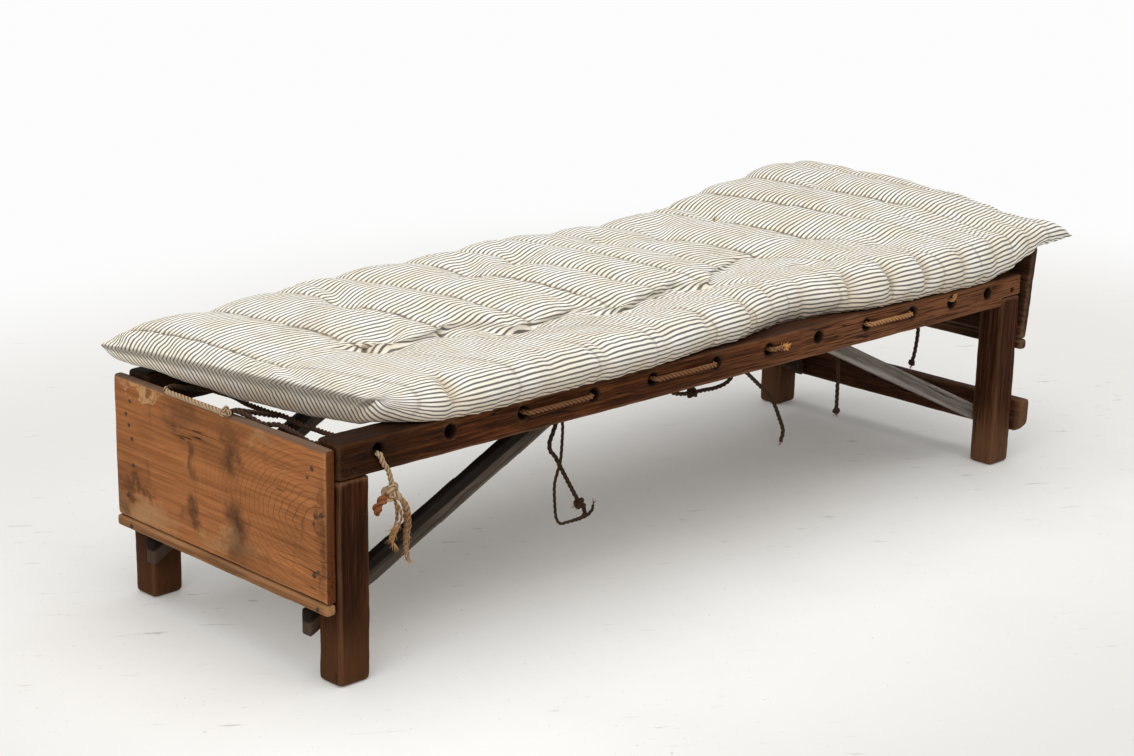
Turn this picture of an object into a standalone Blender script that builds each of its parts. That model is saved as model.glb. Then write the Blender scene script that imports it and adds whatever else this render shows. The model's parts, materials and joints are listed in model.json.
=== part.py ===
"""Rope bed: a plank frame on four legs, laced with rope through bored rails, under a loose ticking mattress.

Axes: X runs along the bed towards the head, Y across it, Z up, in metres.
The origin is on the floor under the middle of the mattress. Routes and places below are counted
from the outer faces of the foot legs along X, and from the bed's centre line along Y.
"""
import math

import bmesh
import bpy
from mathutils import Matrix, Vector

# Clearances
GAP = 0.0003
SOFT_GAP = 0.0005
MERGE = 0.00001

# Frame
FRAME_LENGTH = 1.866
FOOT_WIDTH = 0.596
HEAD_WIDTH = 0.670
LEG_WIDTH = 0.066
SIDE_THICKNESS = 0.060
LEG_WEAR = 0.005
RAIL_TOP = 0.426
RAIL_HEIGHT = 0.065
RAIL_WEAR = 0.004
HEAD_NOTCH = 0.019

# Tenons on the legs, and their pegs
TENON_LENGTH = 0.030
TENON_THICKNESS = 0.024
TENON_HEIGHT = 0.030
PEG_DIAMETER = 0.010
PEG_RISE = 0.014

# Rope holes along each rail
HOLE_DIAMETER = 0.023
HOLE_DROP = 0.026
FIRST_HOLE = 0.083
LAST_HOLE = 0.121
HOLE_SHARES = (0.0, 0.094, 0.194, 0.295, 0.386, 0.489, 0.578, 0.666, 0.755, 0.844, 0.924, 1.0)

# Boards at the foot
PANEL_PROUD = 0.006
PANEL_SHIFT = 0.011
PANEL_THICKNESS = 0.020
PANEL_TOP = 0.418
PANEL_HEIGHT = 0.266
FOOT_STRIP_HEIGHT = 0.021
FOOT_STRIP_THICKNESS = 0.022
BOARD_WEAR = 0.003

# Boards at the head
HEAD_BOARD_PROUD = 0.010
HEAD_BOARD_THICKNESS = 0.018
HEAD_BOARD_HEIGHT = 0.205
HEAD_BOARD_BOTTOM = 0.279
HEAD_BOARD_LEAN = 6.0
HEAD_STRIP_HEIGHT = 0.022
HEAD_STRIP_THICKNESS = 0.022
STRETCHER_PROUD = 0.025
STRETCHER_HEIGHT = 0.074
STRETCHER_THICKNESS = 0.028
STRETCHER_BOTTOM = 0.068
STRETCHER_CORNER = 0.018

# Braces, on the inner faces of legs and rails
BRACE_THICKNESS = 0.025
BRACE_SLOPE = 25.5
BRACE_LAP = 0.024
FOOT_BRACE_WIDTH = 0.042
FOOT_BRACE_PROUD = 0.016
FOOT_BRACE_DROP = 0.009
HEAD_BRACE_WIDTH = 0.032
HEAD_BRACE_SHY = 0.006
HEAD_BRACE_LEG_HEIGHT = 0.099

# Nails
NAIL_LENGTH = 0.045
NAIL_SHANK = 0.004
NAIL_HEAD = 0.009
NAIL_HEAD_RISE = 0.0016
NAIL_HEAD_FLAT = 0.0054
PANEL_NAIL_RISES = (0.045, 0.155)
NAIL_STAGGER = 0.009
HEAD_NAIL_RISE = 0.022

# Ropes and cords
ROPE_DIAMETER = 0.010
CORD_DIAMETER = 0.006
STUB_LENGTH = 0.045
KNOT_DIAMETER = 0.028
KNOT_THICKNESS = 0.020
TAIL_KNOT_SIZE = (0.032, 0.026, 0.036)
SHORT_END_DIAMETER = 0.012
FRAYED_END_DIAMETER = 0.016
FRAYED_TIP_DIAMETER = 0.009
PANEL_ROPE_ENDS = (0.150, -0.024)
PANEL_ROPE_SPLAY = 0.008

# Mattress
MATTRESS_FOOT_OVERHANG = 0.037
MATTRESS_HEAD_OVERHANG = 0.109
MATTRESS_FOOT_SKEW = 0.172
MATTRESS_HEAD_SKEW = 0.010
MATTRESS_FOOT_PROUD = 0.027
MATTRESS_HEAD_PROUD = 0.040
MATTRESS_SEAM_RISE = 0.043
MATTRESS_SAG = 0.018
MATTRESS_BEARING = 0.030
MATTRESS_DRAW = 0.010
MIDDLE_RAMP = 0.440
NEAR_RAMP = 0.188
ROW_SKEW = 0.100
ROW_DEPTH = 0.009

# Mattress ends
TOP_ROUND = 0.085
UNDERSIDE_ROUND = 0.014
HEAD_ROUND = 0.060
FOOT_DIP = 0.011
FOOT_DIP_REACH = 0.160
FAR_FOOT_LIFT = 0.022
NOSE_SHARE = 0.050
NOSE_PROUD = 0.016
NOSE_REACH = 0.080
NOSE_SPREAD = 0.200
PINCH_INSET = 0.060
PINCH_WIDTH = 0.012

# Mattress section
NEAR_LINE = -0.310
VALLEY_LINE = -0.080
FAR_LINE = 0.250
ROLL_WIDTH = 0.062
ROLL_MIDDLE = 0.45
ROLL_SHOULDER = 0.25
ROLL_TUCK = 0.006
NEAR_SEAM_RISE = 0.0035
FAR_ROUND = 0.075
LIP_WIDTH = 0.010
LIP_RISE = 0.019
FAR_SLOPE_SHARES = (0.25, 0.50, 0.75)
FAR_SLOPE_POWER = 0.8
LIP_POWER = 0.2
NEAR_ZONE = 0.35
SHOULDER_RISE = math.sqrt(0.5)

# Mattress along its length, by share of the frame's length
NEAR_OVERHANG = ((0.054, -0.040), (0.067, -0.006), (0.086, 0.022), (0.107, 0.032), (0.166, 0.041),
                 (0.348, 0.035), (0.504, 0.007), (0.627, -0.036), (0.761, 0.015), (0.932, 0.031),
                 (1.058, 0.038))
NEAR_RISE = ((0.054, 0.062), (0.32, 0.066), (0.54, 0.068), (0.64, 0.076), (0.75, 0.088), (0.86, 0.088),
             (0.94, 0.080), (1.02, 0.048), (1.06, 0.048))
VALLEY_RISE = ((0.0, 0.065), (0.11, 0.057), (0.19, 0.049), (0.54, 0.047), (0.64, 0.055), (0.78, 0.082),
               (0.88, 0.091), (0.99, 0.082), (1.06, 0.078))
FAR_RISE = ((-0.02, 0.078), (0.01, 0.084), (0.10, 0.089), (0.19, 0.099), (0.32, 0.105), (0.46, 0.111),
            (0.58, 0.102), (0.69, 0.096), (0.77, 0.107), (0.86, 0.116), (0.96, 0.099), (1.06, 0.086))
LIP_PLACE = ((0.054, 0.010), (0.134, -0.020), (0.169, -0.064), (0.268, -0.030), (0.297, -0.110),
             (0.40, -0.078), (0.43, -0.136), (0.547, -0.082), (0.574, -0.116), (0.616, -0.070),
             (0.69, -0.045), (1.06, -0.060))
LIP_SHARE = ((0.107, 0.0), (0.171, 1.0), (0.60, 1.0), (0.70, 0.5), (0.80, 0.0))

# Mattress along its length, by share of its own length
ROW_SHARES = (0.020, 0.108, 0.200, 0.273, 0.368, 0.440, 0.508, 0.574, 0.646, 0.737, 0.810, 0.882, 0.953)
END_SHARES = (0.0, 0.004, 0.012)
CELLS_PER_ROW = 3

# Facets
HOLE_SIDES = 16
PEG_SIDES = 12
NAIL_SIDES = 8
KNOT_SIDES = 10
KNOT_RINGS = 6
CURVE_STEPS = 24

# Routes of the rope's tail and its two loose ends, from the outer mouth of the near rail's first hole
TAIL_ROUTE = (
    (0.0000, 0.0052, -0.0060), (0.0000, 0.0000, -0.0057), (0.0002, -0.0045, -0.0072),
    (0.0008, -0.0063, -0.0118), (0.0040, -0.0062, -0.0200), (0.0095, -0.0063, -0.0280),
    (0.0145, -0.0064, -0.0360), (0.0185, -0.0069, -0.0470), (0.0210, -0.0076, -0.0600),
)
SHORT_END_ROUTE = (
    (0.0050, -0.0079, -0.0810), (0.0000, -0.0081, -0.0820), (-0.0060, -0.0083, -0.0880),
    (-0.0095, -0.0084, -0.0960), (-0.0110, -0.0084, -0.1040),
)
FRAYED_END_ROUTE = (
    (0.0215, -0.0077, -0.0967), (0.0230, -0.0082, -0.1060), (0.0290, -0.0086, -0.1220),
    (0.0350, -0.0090, -0.1420), (0.0450, -0.0094, -0.1670), (0.0530, -0.0098, -0.1880),
    (0.0585, -0.0100, -0.2073),
)

# Routes of the cords that hang from the cross ropes, each from its upper end
LOOP_ROUTE = (
    (0.5695, -0.2014, 0.3943), (0.5770, -0.2016, 0.3640), (0.5880, -0.2018, 0.3300),
    (0.5800, -0.2016, 0.3050), (0.5710, -0.2014, 0.2860), (0.5730, -0.2015, 0.2690),
    (0.5860, -0.2017, 0.2540), (0.6060, -0.2021, 0.2210), (0.6280, -0.2026, 0.1850),
    (0.6460, -0.2029, 0.1570), (0.6580, -0.2040, 0.1420), (0.6600, -0.2080, 0.1300),
    (0.6480, -0.2120, 0.1245), (0.6290, -0.2150, 0.1255), (0.6050, -0.2155, 0.1262),
    (0.5880, -0.2158, 0.1280), (0.5780, -0.2156, 0.1400), (0.5740, -0.2155, 0.1600),
    (0.5715, -0.2154, 0.2050), (0.5785, -0.2156, 0.2300), (0.5856, -0.2157, 0.2508),
    (0.5930, -0.2159, 0.2850), (0.5980, -0.2160, 0.3190), (0.5880, -0.2158, 0.3560),
    (0.5695, -0.2154, 0.3943),
)
SAGGING_ROUTE = (
    (1.0480, -0.2189, 0.3943), (1.0530, -0.2191, 0.3600), (1.0520, -0.2191, 0.3260),
    (1.0364, -0.2187, 0.3129), (1.0049, -0.2181, 0.3086), (0.9735, -0.2175, 0.3102),
    (0.9387, -0.2168, 0.3115), (0.9050, -0.2161, 0.3155), (0.8790, -0.2156, 0.3260),
    (0.8760, -0.2155, 0.3500), (0.8912, -0.2158, 0.3943),
)
CURVED_ROUTE = (
    (1.0480, -0.2069, 0.3943), (1.0580, -0.2070, 0.3680), (1.0820, -0.2075, 0.3400),
    (1.1092, -0.2080, 0.3177), (1.1564, -0.2090, 0.2777), (1.1919, -0.2095, 0.2436),
    (1.2163, -0.2100, 0.2008), (1.2291, -0.2100, 0.1716), (1.2229, -0.2100, 0.1504),
)
STRAIGHT_ROUTE = (
    (1.3428, -0.2249, 0.3943), (1.3530, -0.2250, 0.3660), (1.3720, -0.2254, 0.3350),
    (1.3775, -0.2255, 0.3050), (1.3805, -0.2256, 0.2523), (1.3813, -0.2256, 0.1828),
)
SHORT_ROUTE = (
    (1.6183, -0.2304, 0.3999), (1.6300, -0.2306, 0.3600), (1.6420, -0.2309, 0.3200),
    (1.6367, -0.2307, 0.2734), (1.6260, -0.2305, 0.2419),
)

# Derived sizes
TAPER = math.atan2((HEAD_WIDTH - FOOT_WIDTH) / 2, FRAME_LENGTH)
RAIL_BOTTOM = RAIL_TOP - RAIL_HEIGHT
HOLE_Z = RAIL_TOP - HOLE_DROP
HOLE_SPAN = FRAME_LENGTH - FIRST_HOLE - LAST_HOLE
HOLE_PLACES = tuple(FIRST_HOLE + share * HOLE_SPAN for share in HOLE_SHARES)
PANEL_BOTTOM = PANEL_TOP - PANEL_HEIGHT
PANEL_LENGTH = FOOT_WIDTH + 2 * PANEL_PROUD
HEAD_BOARD_LENGTH = HEAD_WIDTH + 2 * HEAD_BOARD_PROUD
STRETCHER_LENGTH = HEAD_WIDTH + 2 * STRETCHER_PROUD
FOOT_BRACE_LEG_HEIGHT = PANEL_BOTTOM - FOOT_STRIP_HEIGHT - FOOT_BRACE_DROP
MATTRESS_FOOT_WIDTH = FOOT_WIDTH + 2 * MATTRESS_FOOT_PROUD
MATTRESS_HEAD_WIDTH = HEAD_WIDTH + 2 * MATTRESS_HEAD_PROUD
ROPE_RADIUS = ROPE_DIAMETER / 2
ROPE_BEND = ROPE_RADIUS + SOFT_GAP
HOLE_RADIUS = HOLE_DIAMETER / 2
HEAD_FACE = FRAME_LENGTH * math.cos(TAPER) + SIDE_THICKNESS * math.sin(TAPER)
HEAD_LEAN = math.radians(HEAD_BOARD_LEAN)
HEAD_BOARD_TOP = HEAD_BOARD_BOTTOM + HEAD_BOARD_HEIGHT * math.cos(HEAD_LEAN)
HEAD_BOARD_CREST = HEAD_FACE + GAP + HEAD_BOARD_HEIGHT * math.sin(HEAD_LEAN)
ORIGIN_SHIFT = (MATTRESS_FOOT_OVERHANG - MATTRESS_HEAD_OVERHANG - FRAME_LENGTH) / 2

# Colours and surfaces
DARK_WOOD = ((0.075, 0.030, 0.014), 0.65, 0.0)
PANEL_WOOD = ((0.300, 0.100, 0.030), 0.55, 0.0)
GREY_WOOD = ((0.120, 0.075, 0.050), 0.75, 0.0)
IRON = ((0.045, 0.035, 0.030), 0.60, 0.8)
ROPE = ((0.330, 0.190, 0.090), 0.90, 0.0)
PALE_ROPE = ((0.520, 0.380, 0.230), 0.90, 0.0)
DARK_CORD = ((0.080, 0.045, 0.025), 0.90, 0.0)
TICKING = ((0.720, 0.660, 0.540), 0.95, 0.0)


def clear_scene():
    """Remove every object that is already in the scene."""
    for old in list(bpy.data.objects):
        bpy.data.objects.remove(old, do_unlink=True)


def collection(name):
    """A new collection linked to the scene."""
    made = bpy.data.collections.new(name)
    bpy.context.scene.collection.children.link(made)
    return made


def empty(name, place, turn, parent):
    """An empty that carries a sub-assembly."""
    made = bpy.data.objects.new(name, None)
    made.location = place
    made.rotation_euler = (0.0, 0.0, turn)
    made.parent = parent
    PARTS.objects.link(made)
    return made


def finish(name, surface):
    """A material for one part, or for parts that share a mesh."""
    colour, roughness, metallic = surface
    material = bpy.data.materials.new(name + "_finish")
    material.use_nodes = True
    shader = material.node_tree.nodes["Principled BSDF"]
    shader.inputs["Base Color"].default_value = (*colour, 1.0)
    shader.inputs["Roughness"].default_value = roughness
    shader.inputs["Metallic"].default_value = metallic
    return material


def mesh_part(name, bm, parent, surface):
    """A named part from a bmesh."""
    mesh = bpy.data.meshes.new(name)
    bm.to_mesh(mesh)
    bm.free()
    part = bpy.data.objects.new(name, mesh)
    part.parent = parent
    PARTS.objects.link(part)
    mesh.materials.append(finish(name, surface))
    return part


def cutter(name, bm, parent):
    """A hidden tool body for a Boolean."""
    mesh = bpy.data.meshes.new(name)
    bm.to_mesh(mesh)
    bm.free()
    tool = bpy.data.objects.new(name, mesh)
    tool.parent = parent
    tool.hide_render = True
    tool.display_type = "WIRE"
    CUTTERS.objects.link(tool)
    return tool


def boolean(part, tool, operation):
    """Cut a tool body out of a part, or join it on."""
    step = part.modifiers.new(tool.name, "BOOLEAN")
    step.operation = operation
    step.object = tool


def add_box(bm, low, high):
    """Add a box between two corners, whatever their order, and return its vertices."""
    low, high = Vector(low), Vector(high)
    size = Vector([abs(b - a) for a, b in zip(low, high)])
    place = Matrix.Translation((low + high) / 2) @ Matrix.Diagonal(size).to_4x4()
    return bmesh.ops.create_cube(bm, size=1.0, matrix=place)["verts"]


def soften(bm, width, segments=2):
    """Round all the edges that a body has so far."""
    bmesh.ops.bevel(bm, geom=list(bm.edges), offset=width, segments=segments, affect="EDGES", profile=0.5)


def trim(bm, point, normal):
    """Cut away what lies beyond a plane, and close the cut."""
    geometry = bm.verts[:] + bm.edges[:] + bm.faces[:]
    cut = bmesh.ops.bisect_plane(bm, geom=geometry, plane_co=point, plane_no=normal, clear_outer=True)
    edges = [item for item in cut["geom_cut"] if isinstance(item, bmesh.types.BMEdge)]
    bmesh.ops.holes_fill(bm, edges=edges)


def axis_turn(direction):
    """The rotation that takes +Z to a direction."""
    return Vector((0.0, 0.0, 1.0)).rotation_difference(Vector(direction)).to_matrix().to_4x4()


def add_rod(bm, start, direction, length, radius, segments):
    """Add a closed cylinder from a point along a direction."""
    direction = Vector(direction).normalized()
    place = Matrix.Translation(Vector(start) + direction * length / 2) @ axis_turn(direction)
    bmesh.ops.create_cone(bm, cap_ends=True, segments=segments, radius1=radius, radius2=radius,
                          depth=length, matrix=place)


def turned_mesh(name, profile, segments, surface):
    """A closed mesh turned round +Z from a profile of (radius, height) points, pole to pole."""
    bm = bmesh.new()
    verts = [bm.verts.new((radius, 0.0, height)) for radius, height in profile]
    edges = [bm.edges.new(pair) for pair in zip(verts, verts[1:])]
    bmesh.ops.spin(bm, geom=verts + edges, cent=(0, 0, 0), axis=(0, 0, 1), angle=2 * math.pi,
                   steps=segments, use_merge=True)
    bmesh.ops.remove_doubles(bm, verts=bm.verts, dist=MERGE)
    bmesh.ops.recalc_face_normals(bm, faces=bm.faces)
    mesh = bpy.data.meshes.new(name)
    bm.to_mesh(mesh)
    bm.free()
    mesh.materials.append(finish(name, surface))
    return mesh


def place_copy(name, mesh, place, parent):
    """One of several alike parts, which share a mesh."""
    part = bpy.data.objects.new(name, mesh)
    part.parent = parent
    part.matrix_basis = place
    PARTS.objects.link(part)
    return part


class Side:
    """One long side of the bed, in its own frame: x along the rail, inset from its outer face, z up."""

    def __init__(self, name, inward, parent):
        self.name = name
        self.inward = inward
        place = (0.0, -inward * FOOT_WIDTH / 2, 0.0)
        self.frame = empty(name + "_side", place, -inward * TAPER, parent)

    def local(self, x, inset, z):
        """A point in this side's own frame."""
        return Vector((x, self.inward * inset, z))

    def bed(self, x, inset, z):
        """The same point in the bed's frame."""
        turn = Matrix.Rotation(-self.inward * TAPER, 3, "Z")
        return turn @ self.local(x, inset, z) + Vector((0.0, -self.inward * FOOT_WIDTH / 2, 0.0))

    def direction(self, x, inset, z):
        """A direction of this side's frame, in the bed's frame."""
        return Matrix.Rotation(-self.inward * TAPER, 3, "Z") @ self.local(x, inset, z)


def leg_places():
    """Start along the rail, shoulder height and name of each leg."""
    return (
        ("foot", 0.0, RAIL_BOTTOM - GAP),
        ("head", FRAME_LENGTH - LEG_WIDTH, RAIL_BOTTOM + HEAD_NOTCH - GAP),
    )


def tenon_corners(side, start, shoulder, slack):
    """Low and high corners of a tenon, or with slack of its mortise."""
    middle = start + LEG_WIDTH / 2
    reach = Vector((TENON_LENGTH / 2 + slack, TENON_THICKNESS / 2 + slack))
    low = side.local(middle - reach.x, SIDE_THICKNESS / 2 - reach.y, shoulder - TENON_HEIGHT / 2)
    high = side.local(middle + reach.x, SIDE_THICKNESS / 2 + reach.y, shoulder + TENON_HEIGHT + slack)
    return low, high


def make_leg(side, end, start, shoulder):
    """A worn square leg with a stub tenon on top."""
    bm = bmesh.new()
    add_box(bm, side.local(start, 0.0, 0.0), side.local(start + LEG_WIDTH, SIDE_THICKNESS, shoulder))
    standing = [e for e in bm.edges if min(v.co.z for v in e.verts) < shoulder - GAP]
    bmesh.ops.bevel(bm, geom=standing, offset=LEG_WEAR, segments=2, affect="EDGES", profile=0.5)
    leg = mesh_part("leg_%s_%s" % (end, side.name), bm, side.frame, DARK_WOOD)
    tool = bmesh.new()
    add_box(tool, *tenon_corners(side, start, shoulder, 0.0))
    boolean(leg, cutter(leg.name + "_tenon", tool, side.frame), "UNION")
    return leg


def make_rail(side):
    """A side rail with rope holes, mortises, and a notch over the head leg."""
    bm = bmesh.new()
    add_box(bm, side.local(0.0, 0.0, RAIL_BOTTOM), side.local(FRAME_LENGTH, SIDE_THICKNESS, RAIL_TOP))
    soften(bm, RAIL_WEAR)
    rail = mesh_part("side_rail_" + side.name, bm, side.frame, DARK_WOOD)
    spare = RAIL_HEIGHT
    notch = bmesh.new()
    add_box(notch, side.local(FRAME_LENGTH - LEG_WIDTH - GAP, -spare, RAIL_BOTTOM - spare),
            side.local(FRAME_LENGTH + spare, SIDE_THICKNESS + spare, RAIL_BOTTOM + HEAD_NOTCH))
    boolean(rail, cutter(rail.name + "_notch", notch, side.frame), "DIFFERENCE")
    mortises = bmesh.new()
    for _, start, shoulder in leg_places():
        add_box(mortises, *tenon_corners(side, start, shoulder, GAP))
    boolean(rail, cutter(rail.name + "_mortises", mortises, side.frame), "DIFFERENCE")
    holes = bmesh.new()
    for x in HOLE_PLACES:
        add_rod(holes, side.local(x, -spare, HOLE_Z), side.local(0, 1, 0), SIDE_THICKNESS + 2 * spare,
                HOLE_RADIUS, HOLE_SIDES)
    boolean(rail, cutter(rail.name + "_holes", holes, side.frame), "DIFFERENCE")
    return rail


def make_pegs(sides, rails, legs):
    """Pegs through the rails and the tenons, with their holes."""
    radius = PEG_DIAMETER / 2
    length = SIDE_THICKNESS + GAP
    profile = ((0.0, 0.0), (radius, 0.0), (radius, length), (0.0, length))
    peg = turned_mesh("rail_peg", profile, PEG_SIDES, GREY_WOOD)
    for side in sides:
        bores = bmesh.new()
        inward = side.local(0, 1, 0)
        for end, start, shoulder in leg_places():
            x, z = start + LEG_WIDTH / 2, shoulder + PEG_RISE
            add_rod(bores, side.local(x, -PEG_DIAMETER, z), inward, length + 2 * PEG_DIAMETER,
                    radius + GAP, PEG_SIDES)
            place = Matrix.Translation(side.local(x, -GAP, z)) @ axis_turn(inward)
            place_copy("rail_peg_%s_%s" % (end, side.name), peg, place, side.frame)
        tool = cutter(side.name + "_peg_bores", bores, side.frame)
        for part in (rails[side.name], legs["foot", side.name], legs["head", side.name]):
            boolean(part, tool, "DIFFERENCE")


def nail_profile():
    """Profile of a nail standing on its tip, its head's underside at height zero."""
    head, shank = NAIL_HEAD / 2, NAIL_SHANK / 2
    return ((0.0, -NAIL_LENGTH), (shank, -NAIL_LENGTH + NAIL_SHANK), (shank, 0.0), (head, 0.0),
            (NAIL_HEAD_FLAT / 2, NAIL_HEAD_RISE), (0.0, NAIL_HEAD_RISE))


def make_nails(name, places, carriers, parent):
    """Alike nails, each a (head point, driving direction), with their holes in what carries them."""
    nail = turned_mesh(name, nail_profile(), NAIL_SIDES, IRON)
    bores = bmesh.new()
    for count, (point, direction) in enumerate(places, 1):
        back = -Vector(direction).normalized()
        seat = Vector(point) + back * GAP
        place_copy("%s_%d" % (name, count), nail, Matrix.Translation(seat) @ axis_turn(back), parent)
        add_rod(bores, seat + back * NAIL_HEAD, -back, NAIL_HEAD + NAIL_LENGTH + GAP,
                NAIL_SHANK / 2 + GAP, NAIL_SIDES)
    tool = cutter(name + "_bores", bores, parent)
    for part in carriers:
        boolean(part, tool, "DIFFERENCE")


def make_board(name, low, high, parent, surface):
    """A plain board with eased edges."""
    bm = bmesh.new()
    add_box(bm, low, high)
    soften(bm, BOARD_WEAR)
    return mesh_part(name, bm, parent, surface)


def make_foot_boards(sides, legs, bed):
    """The foot panel, the strip under it, and their nails."""
    half = PANEL_LENGTH / 2
    panel = make_board("foot_panel", (-PANEL_THICKNESS - GAP, PANEL_SHIFT - half, PANEL_BOTTOM),
                       (-GAP, PANEL_SHIFT + half, PANEL_TOP), bed, PANEL_WOOD)
    strip_top = PANEL_BOTTOM - GAP
    strip = make_board("foot_panel_strip",
                       (-FOOT_STRIP_THICKNESS - GAP, PANEL_SHIFT - half, strip_top - FOOT_STRIP_HEIGHT),
                       (-GAP, PANEL_SHIFT + half, strip_top), bed, PANEL_WOOD)
    panel_nails = []
    strip_nails = []
    for side in sides:
        middle = side.bed(0.0, SIDE_THICKNESS / 2, 0.0).y
        for step, rise in enumerate(PANEL_NAIL_RISES):
            across = middle + NAIL_STAGGER * (-1) ** step
            panel_nails.append(((-PANEL_THICKNESS - GAP, across, PANEL_BOTTOM + rise), (1, 0, 0)))
        level = strip_top - FOOT_STRIP_HEIGHT / 2
        strip_nails.append(((-FOOT_STRIP_THICKNESS - GAP, middle, level), (1, 0, 0)))
    foot_legs = [legs["foot", side.name] for side in sides]
    make_nails("foot_panel_nail", panel_nails, [panel] + foot_legs, bed)
    make_nails("foot_strip_nail", strip_nails, [strip] + foot_legs, bed)


def make_head_boards(sides, legs, bed):
    """The leaning head board, the strip that it stands on, the low stretcher, and their nails."""
    face = HEAD_FACE + GAP
    half = HEAD_BOARD_LENGTH / 2
    board = make_board("head_board", (0.0, -half, 0.0), (HEAD_BOARD_THICKNESS, half, HEAD_BOARD_HEIGHT),
                       bed, GREY_WOOD)
    board.location = (face, 0.0, HEAD_BOARD_BOTTOM)
    board.rotation_euler = (0.0, HEAD_LEAN, 0.0)
    strip_top = HEAD_BOARD_BOTTOM - HEAD_BOARD_THICKNESS * math.sin(HEAD_LEAN) - GAP
    strip = make_board("head_board_strip", (face, -half, strip_top - HEAD_STRIP_HEIGHT),
                       (face + HEAD_STRIP_THICKNESS, half, strip_top), bed, GREY_WOOD)
    bm = bmesh.new()
    half = STRETCHER_LENGTH / 2
    add_box(bm, (face, -half, STRETCHER_BOTTOM),
            (face + STRETCHER_THICKNESS, half, STRETCHER_BOTTOM + STRETCHER_HEIGHT))
    for end in (-1, 1):
        trim(bm, (face, end * (half - STRETCHER_CORNER), STRETCHER_BOTTOM), (0, end, -1))
    soften(bm, BOARD_WEAR)
    stretcher = mesh_part("head_stretcher", bm, bed, DARK_WOOD)
    lean = Matrix.Rotation(HEAD_LEAN, 3, "Y")
    rise = lean @ Vector((HEAD_BOARD_THICKNESS, 0.0, HEAD_NAIL_RISE))
    board_nails = []
    strip_nails = []
    stretcher_nails = []
    for side in sides:
        middle = side.bed(FRAME_LENGTH, SIDE_THICKNESS / 2, 0.0).y
        board_nails.append((Vector((face, middle, HEAD_BOARD_BOTTOM)) + rise, lean @ Vector((-1, 0, 0))))
        level = strip_top - HEAD_STRIP_HEIGHT / 2
        strip_nails.append(((face + HEAD_STRIP_THICKNESS, middle, level), (-1, 0, 0)))
        level = STRETCHER_BOTTOM + STRETCHER_HEIGHT / 2
        stretcher_nails.append(((face + STRETCHER_THICKNESS, middle, level), (-1, 0, 0)))
    head_legs = [legs["head", side.name] for side in sides]
    make_nails("head_board_nail", board_nails, [board] + head_legs, bed)
    make_nails("head_strip_nail", strip_nails, [strip] + head_legs, bed)
    make_nails("head_stretcher_nail", stretcher_nails, [stretcher] + head_legs, bed)


def brace_line(end):
    """A point on a brace's middle line, its slope, its width, and the place and way of its lower cut."""
    slope = math.radians(BRACE_SLOPE)
    if end == "foot":
        point = Vector((LEG_WIDTH / 2, FOOT_BRACE_LEG_HEIGHT))
        return point, slope, FOOT_BRACE_WIDTH, -FOOT_BRACE_PROUD, -1
    point = Vector((FRAME_LENGTH - LEG_WIDTH / 2, HEAD_BRACE_LEG_HEIGHT))
    return point, -slope, HEAD_BRACE_WIDTH, FRAME_LENGTH - HEAD_BRACE_SHY, 1


def make_brace(side, end):
    """A slanting brace, cut upright at its foot and level behind the rail."""
    point, slope, width, foot_cut, foot_way = brace_line(end)
    low, high = SIDE_THICKNESS + GAP, SIDE_THICKNESS + GAP + BRACE_THICKNESS
    bm = bmesh.new()
    reach = FRAME_LENGTH / 2
    add_box(bm, (-reach, low * side.inward, -width / 2), (reach, high * side.inward, width / 2))
    place = Matrix.Translation((point.x, 0.0, point.y)) @ Matrix.Rotation(-slope, 4, "Y")
    bmesh.ops.transform(bm, matrix=place, verts=bm.verts)
    trim(bm, (foot_cut, 0.0, 0.0), (foot_way, 0, 0))
    trim(bm, (0.0, 0.0, RAIL_BOTTOM + BRACE_LAP), (0, 0, 1))
    return mesh_part("brace_%s_%s" % (end, side.name), bm, side.frame, GREY_WOOD)


def make_braces(sides, rails, legs, bed):
    """Two braces on each side, each nailed on its middle line to the leg and to the rail."""
    level = RAIL_BOTTOM + BRACE_LAP / 2
    inset = SIDE_THICKNESS + GAP + BRACE_THICKNESS
    for side in sides:
        outward = side.direction(0, -1, 0)
        for end, _, _ in leg_places():
            brace = make_brace(side, end)
            point, slope, _, _, _ = brace_line(end)
            along = point.x + (level - point.y) / math.tan(slope)
            places = [(side.bed(point.x, inset, point.y), outward), (side.bed(along, inset, level), outward)]
            carriers = [brace, legs[end, side.name], rails[side.name]]
            make_nails(brace.name + "_nail", places, carriers, bed)


def smooth_points(route, step):
    """Points at a step along a smooth curve through a route."""
    points = [Vector(p) for p in route]
    points = [points[0] * 2 - points[1]] + points + [points[-1] * 2 - points[-2]]
    fine = []
    for a, b, c, d in zip(points, points[1:], points[2:], points[3:]):
        for k in range(CURVE_STEPS):
            t = k / CURVE_STEPS
            fine.append(0.5 * (2 * b + (c - a) * t + (2 * a - 5 * b + 4 * c - d) * t ** 2
                               + (3 * b - a - 3 * c + d) * t ** 3))
    fine.append(points[-2])
    lengths = [0.0]
    for a, b in zip(fine, fine[1:]):
        lengths.append(lengths[-1] + (b - a).length)
    count = max(3, round(lengths[-1] / step))
    chosen = []
    for k in range(count + 1):
        want = lengths[-1] * k / count
        at = min(range(len(fine)), key=lambda i: abs(lengths[i] - want))
        chosen.append(fine[at])
    return chosen


def make_tube(name, points, diameter, surface, parent, radii=None):
    """A round tube with filled caps along a chain of points."""
    data = bpy.data.curves.new(name, "CURVE")
    data.dimensions = "3D"
    data.bevel_depth = diameter / 2
    data.bevel_resolution = 2
    data.use_fill_caps = True
    spline = data.splines.new("POLY")
    spline.points.add(len(points) - 1)
    for index, point in enumerate(points):
        spline.points[index].co = (*point, 1.0)
        spline.points[index].radius = radii[index] if radii else 1.0
    tube = bpy.data.objects.new(name, data)
    tube.parent = parent
    PARTS.objects.link(tube)
    data.materials.append(finish(name, surface))
    return tube


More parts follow.
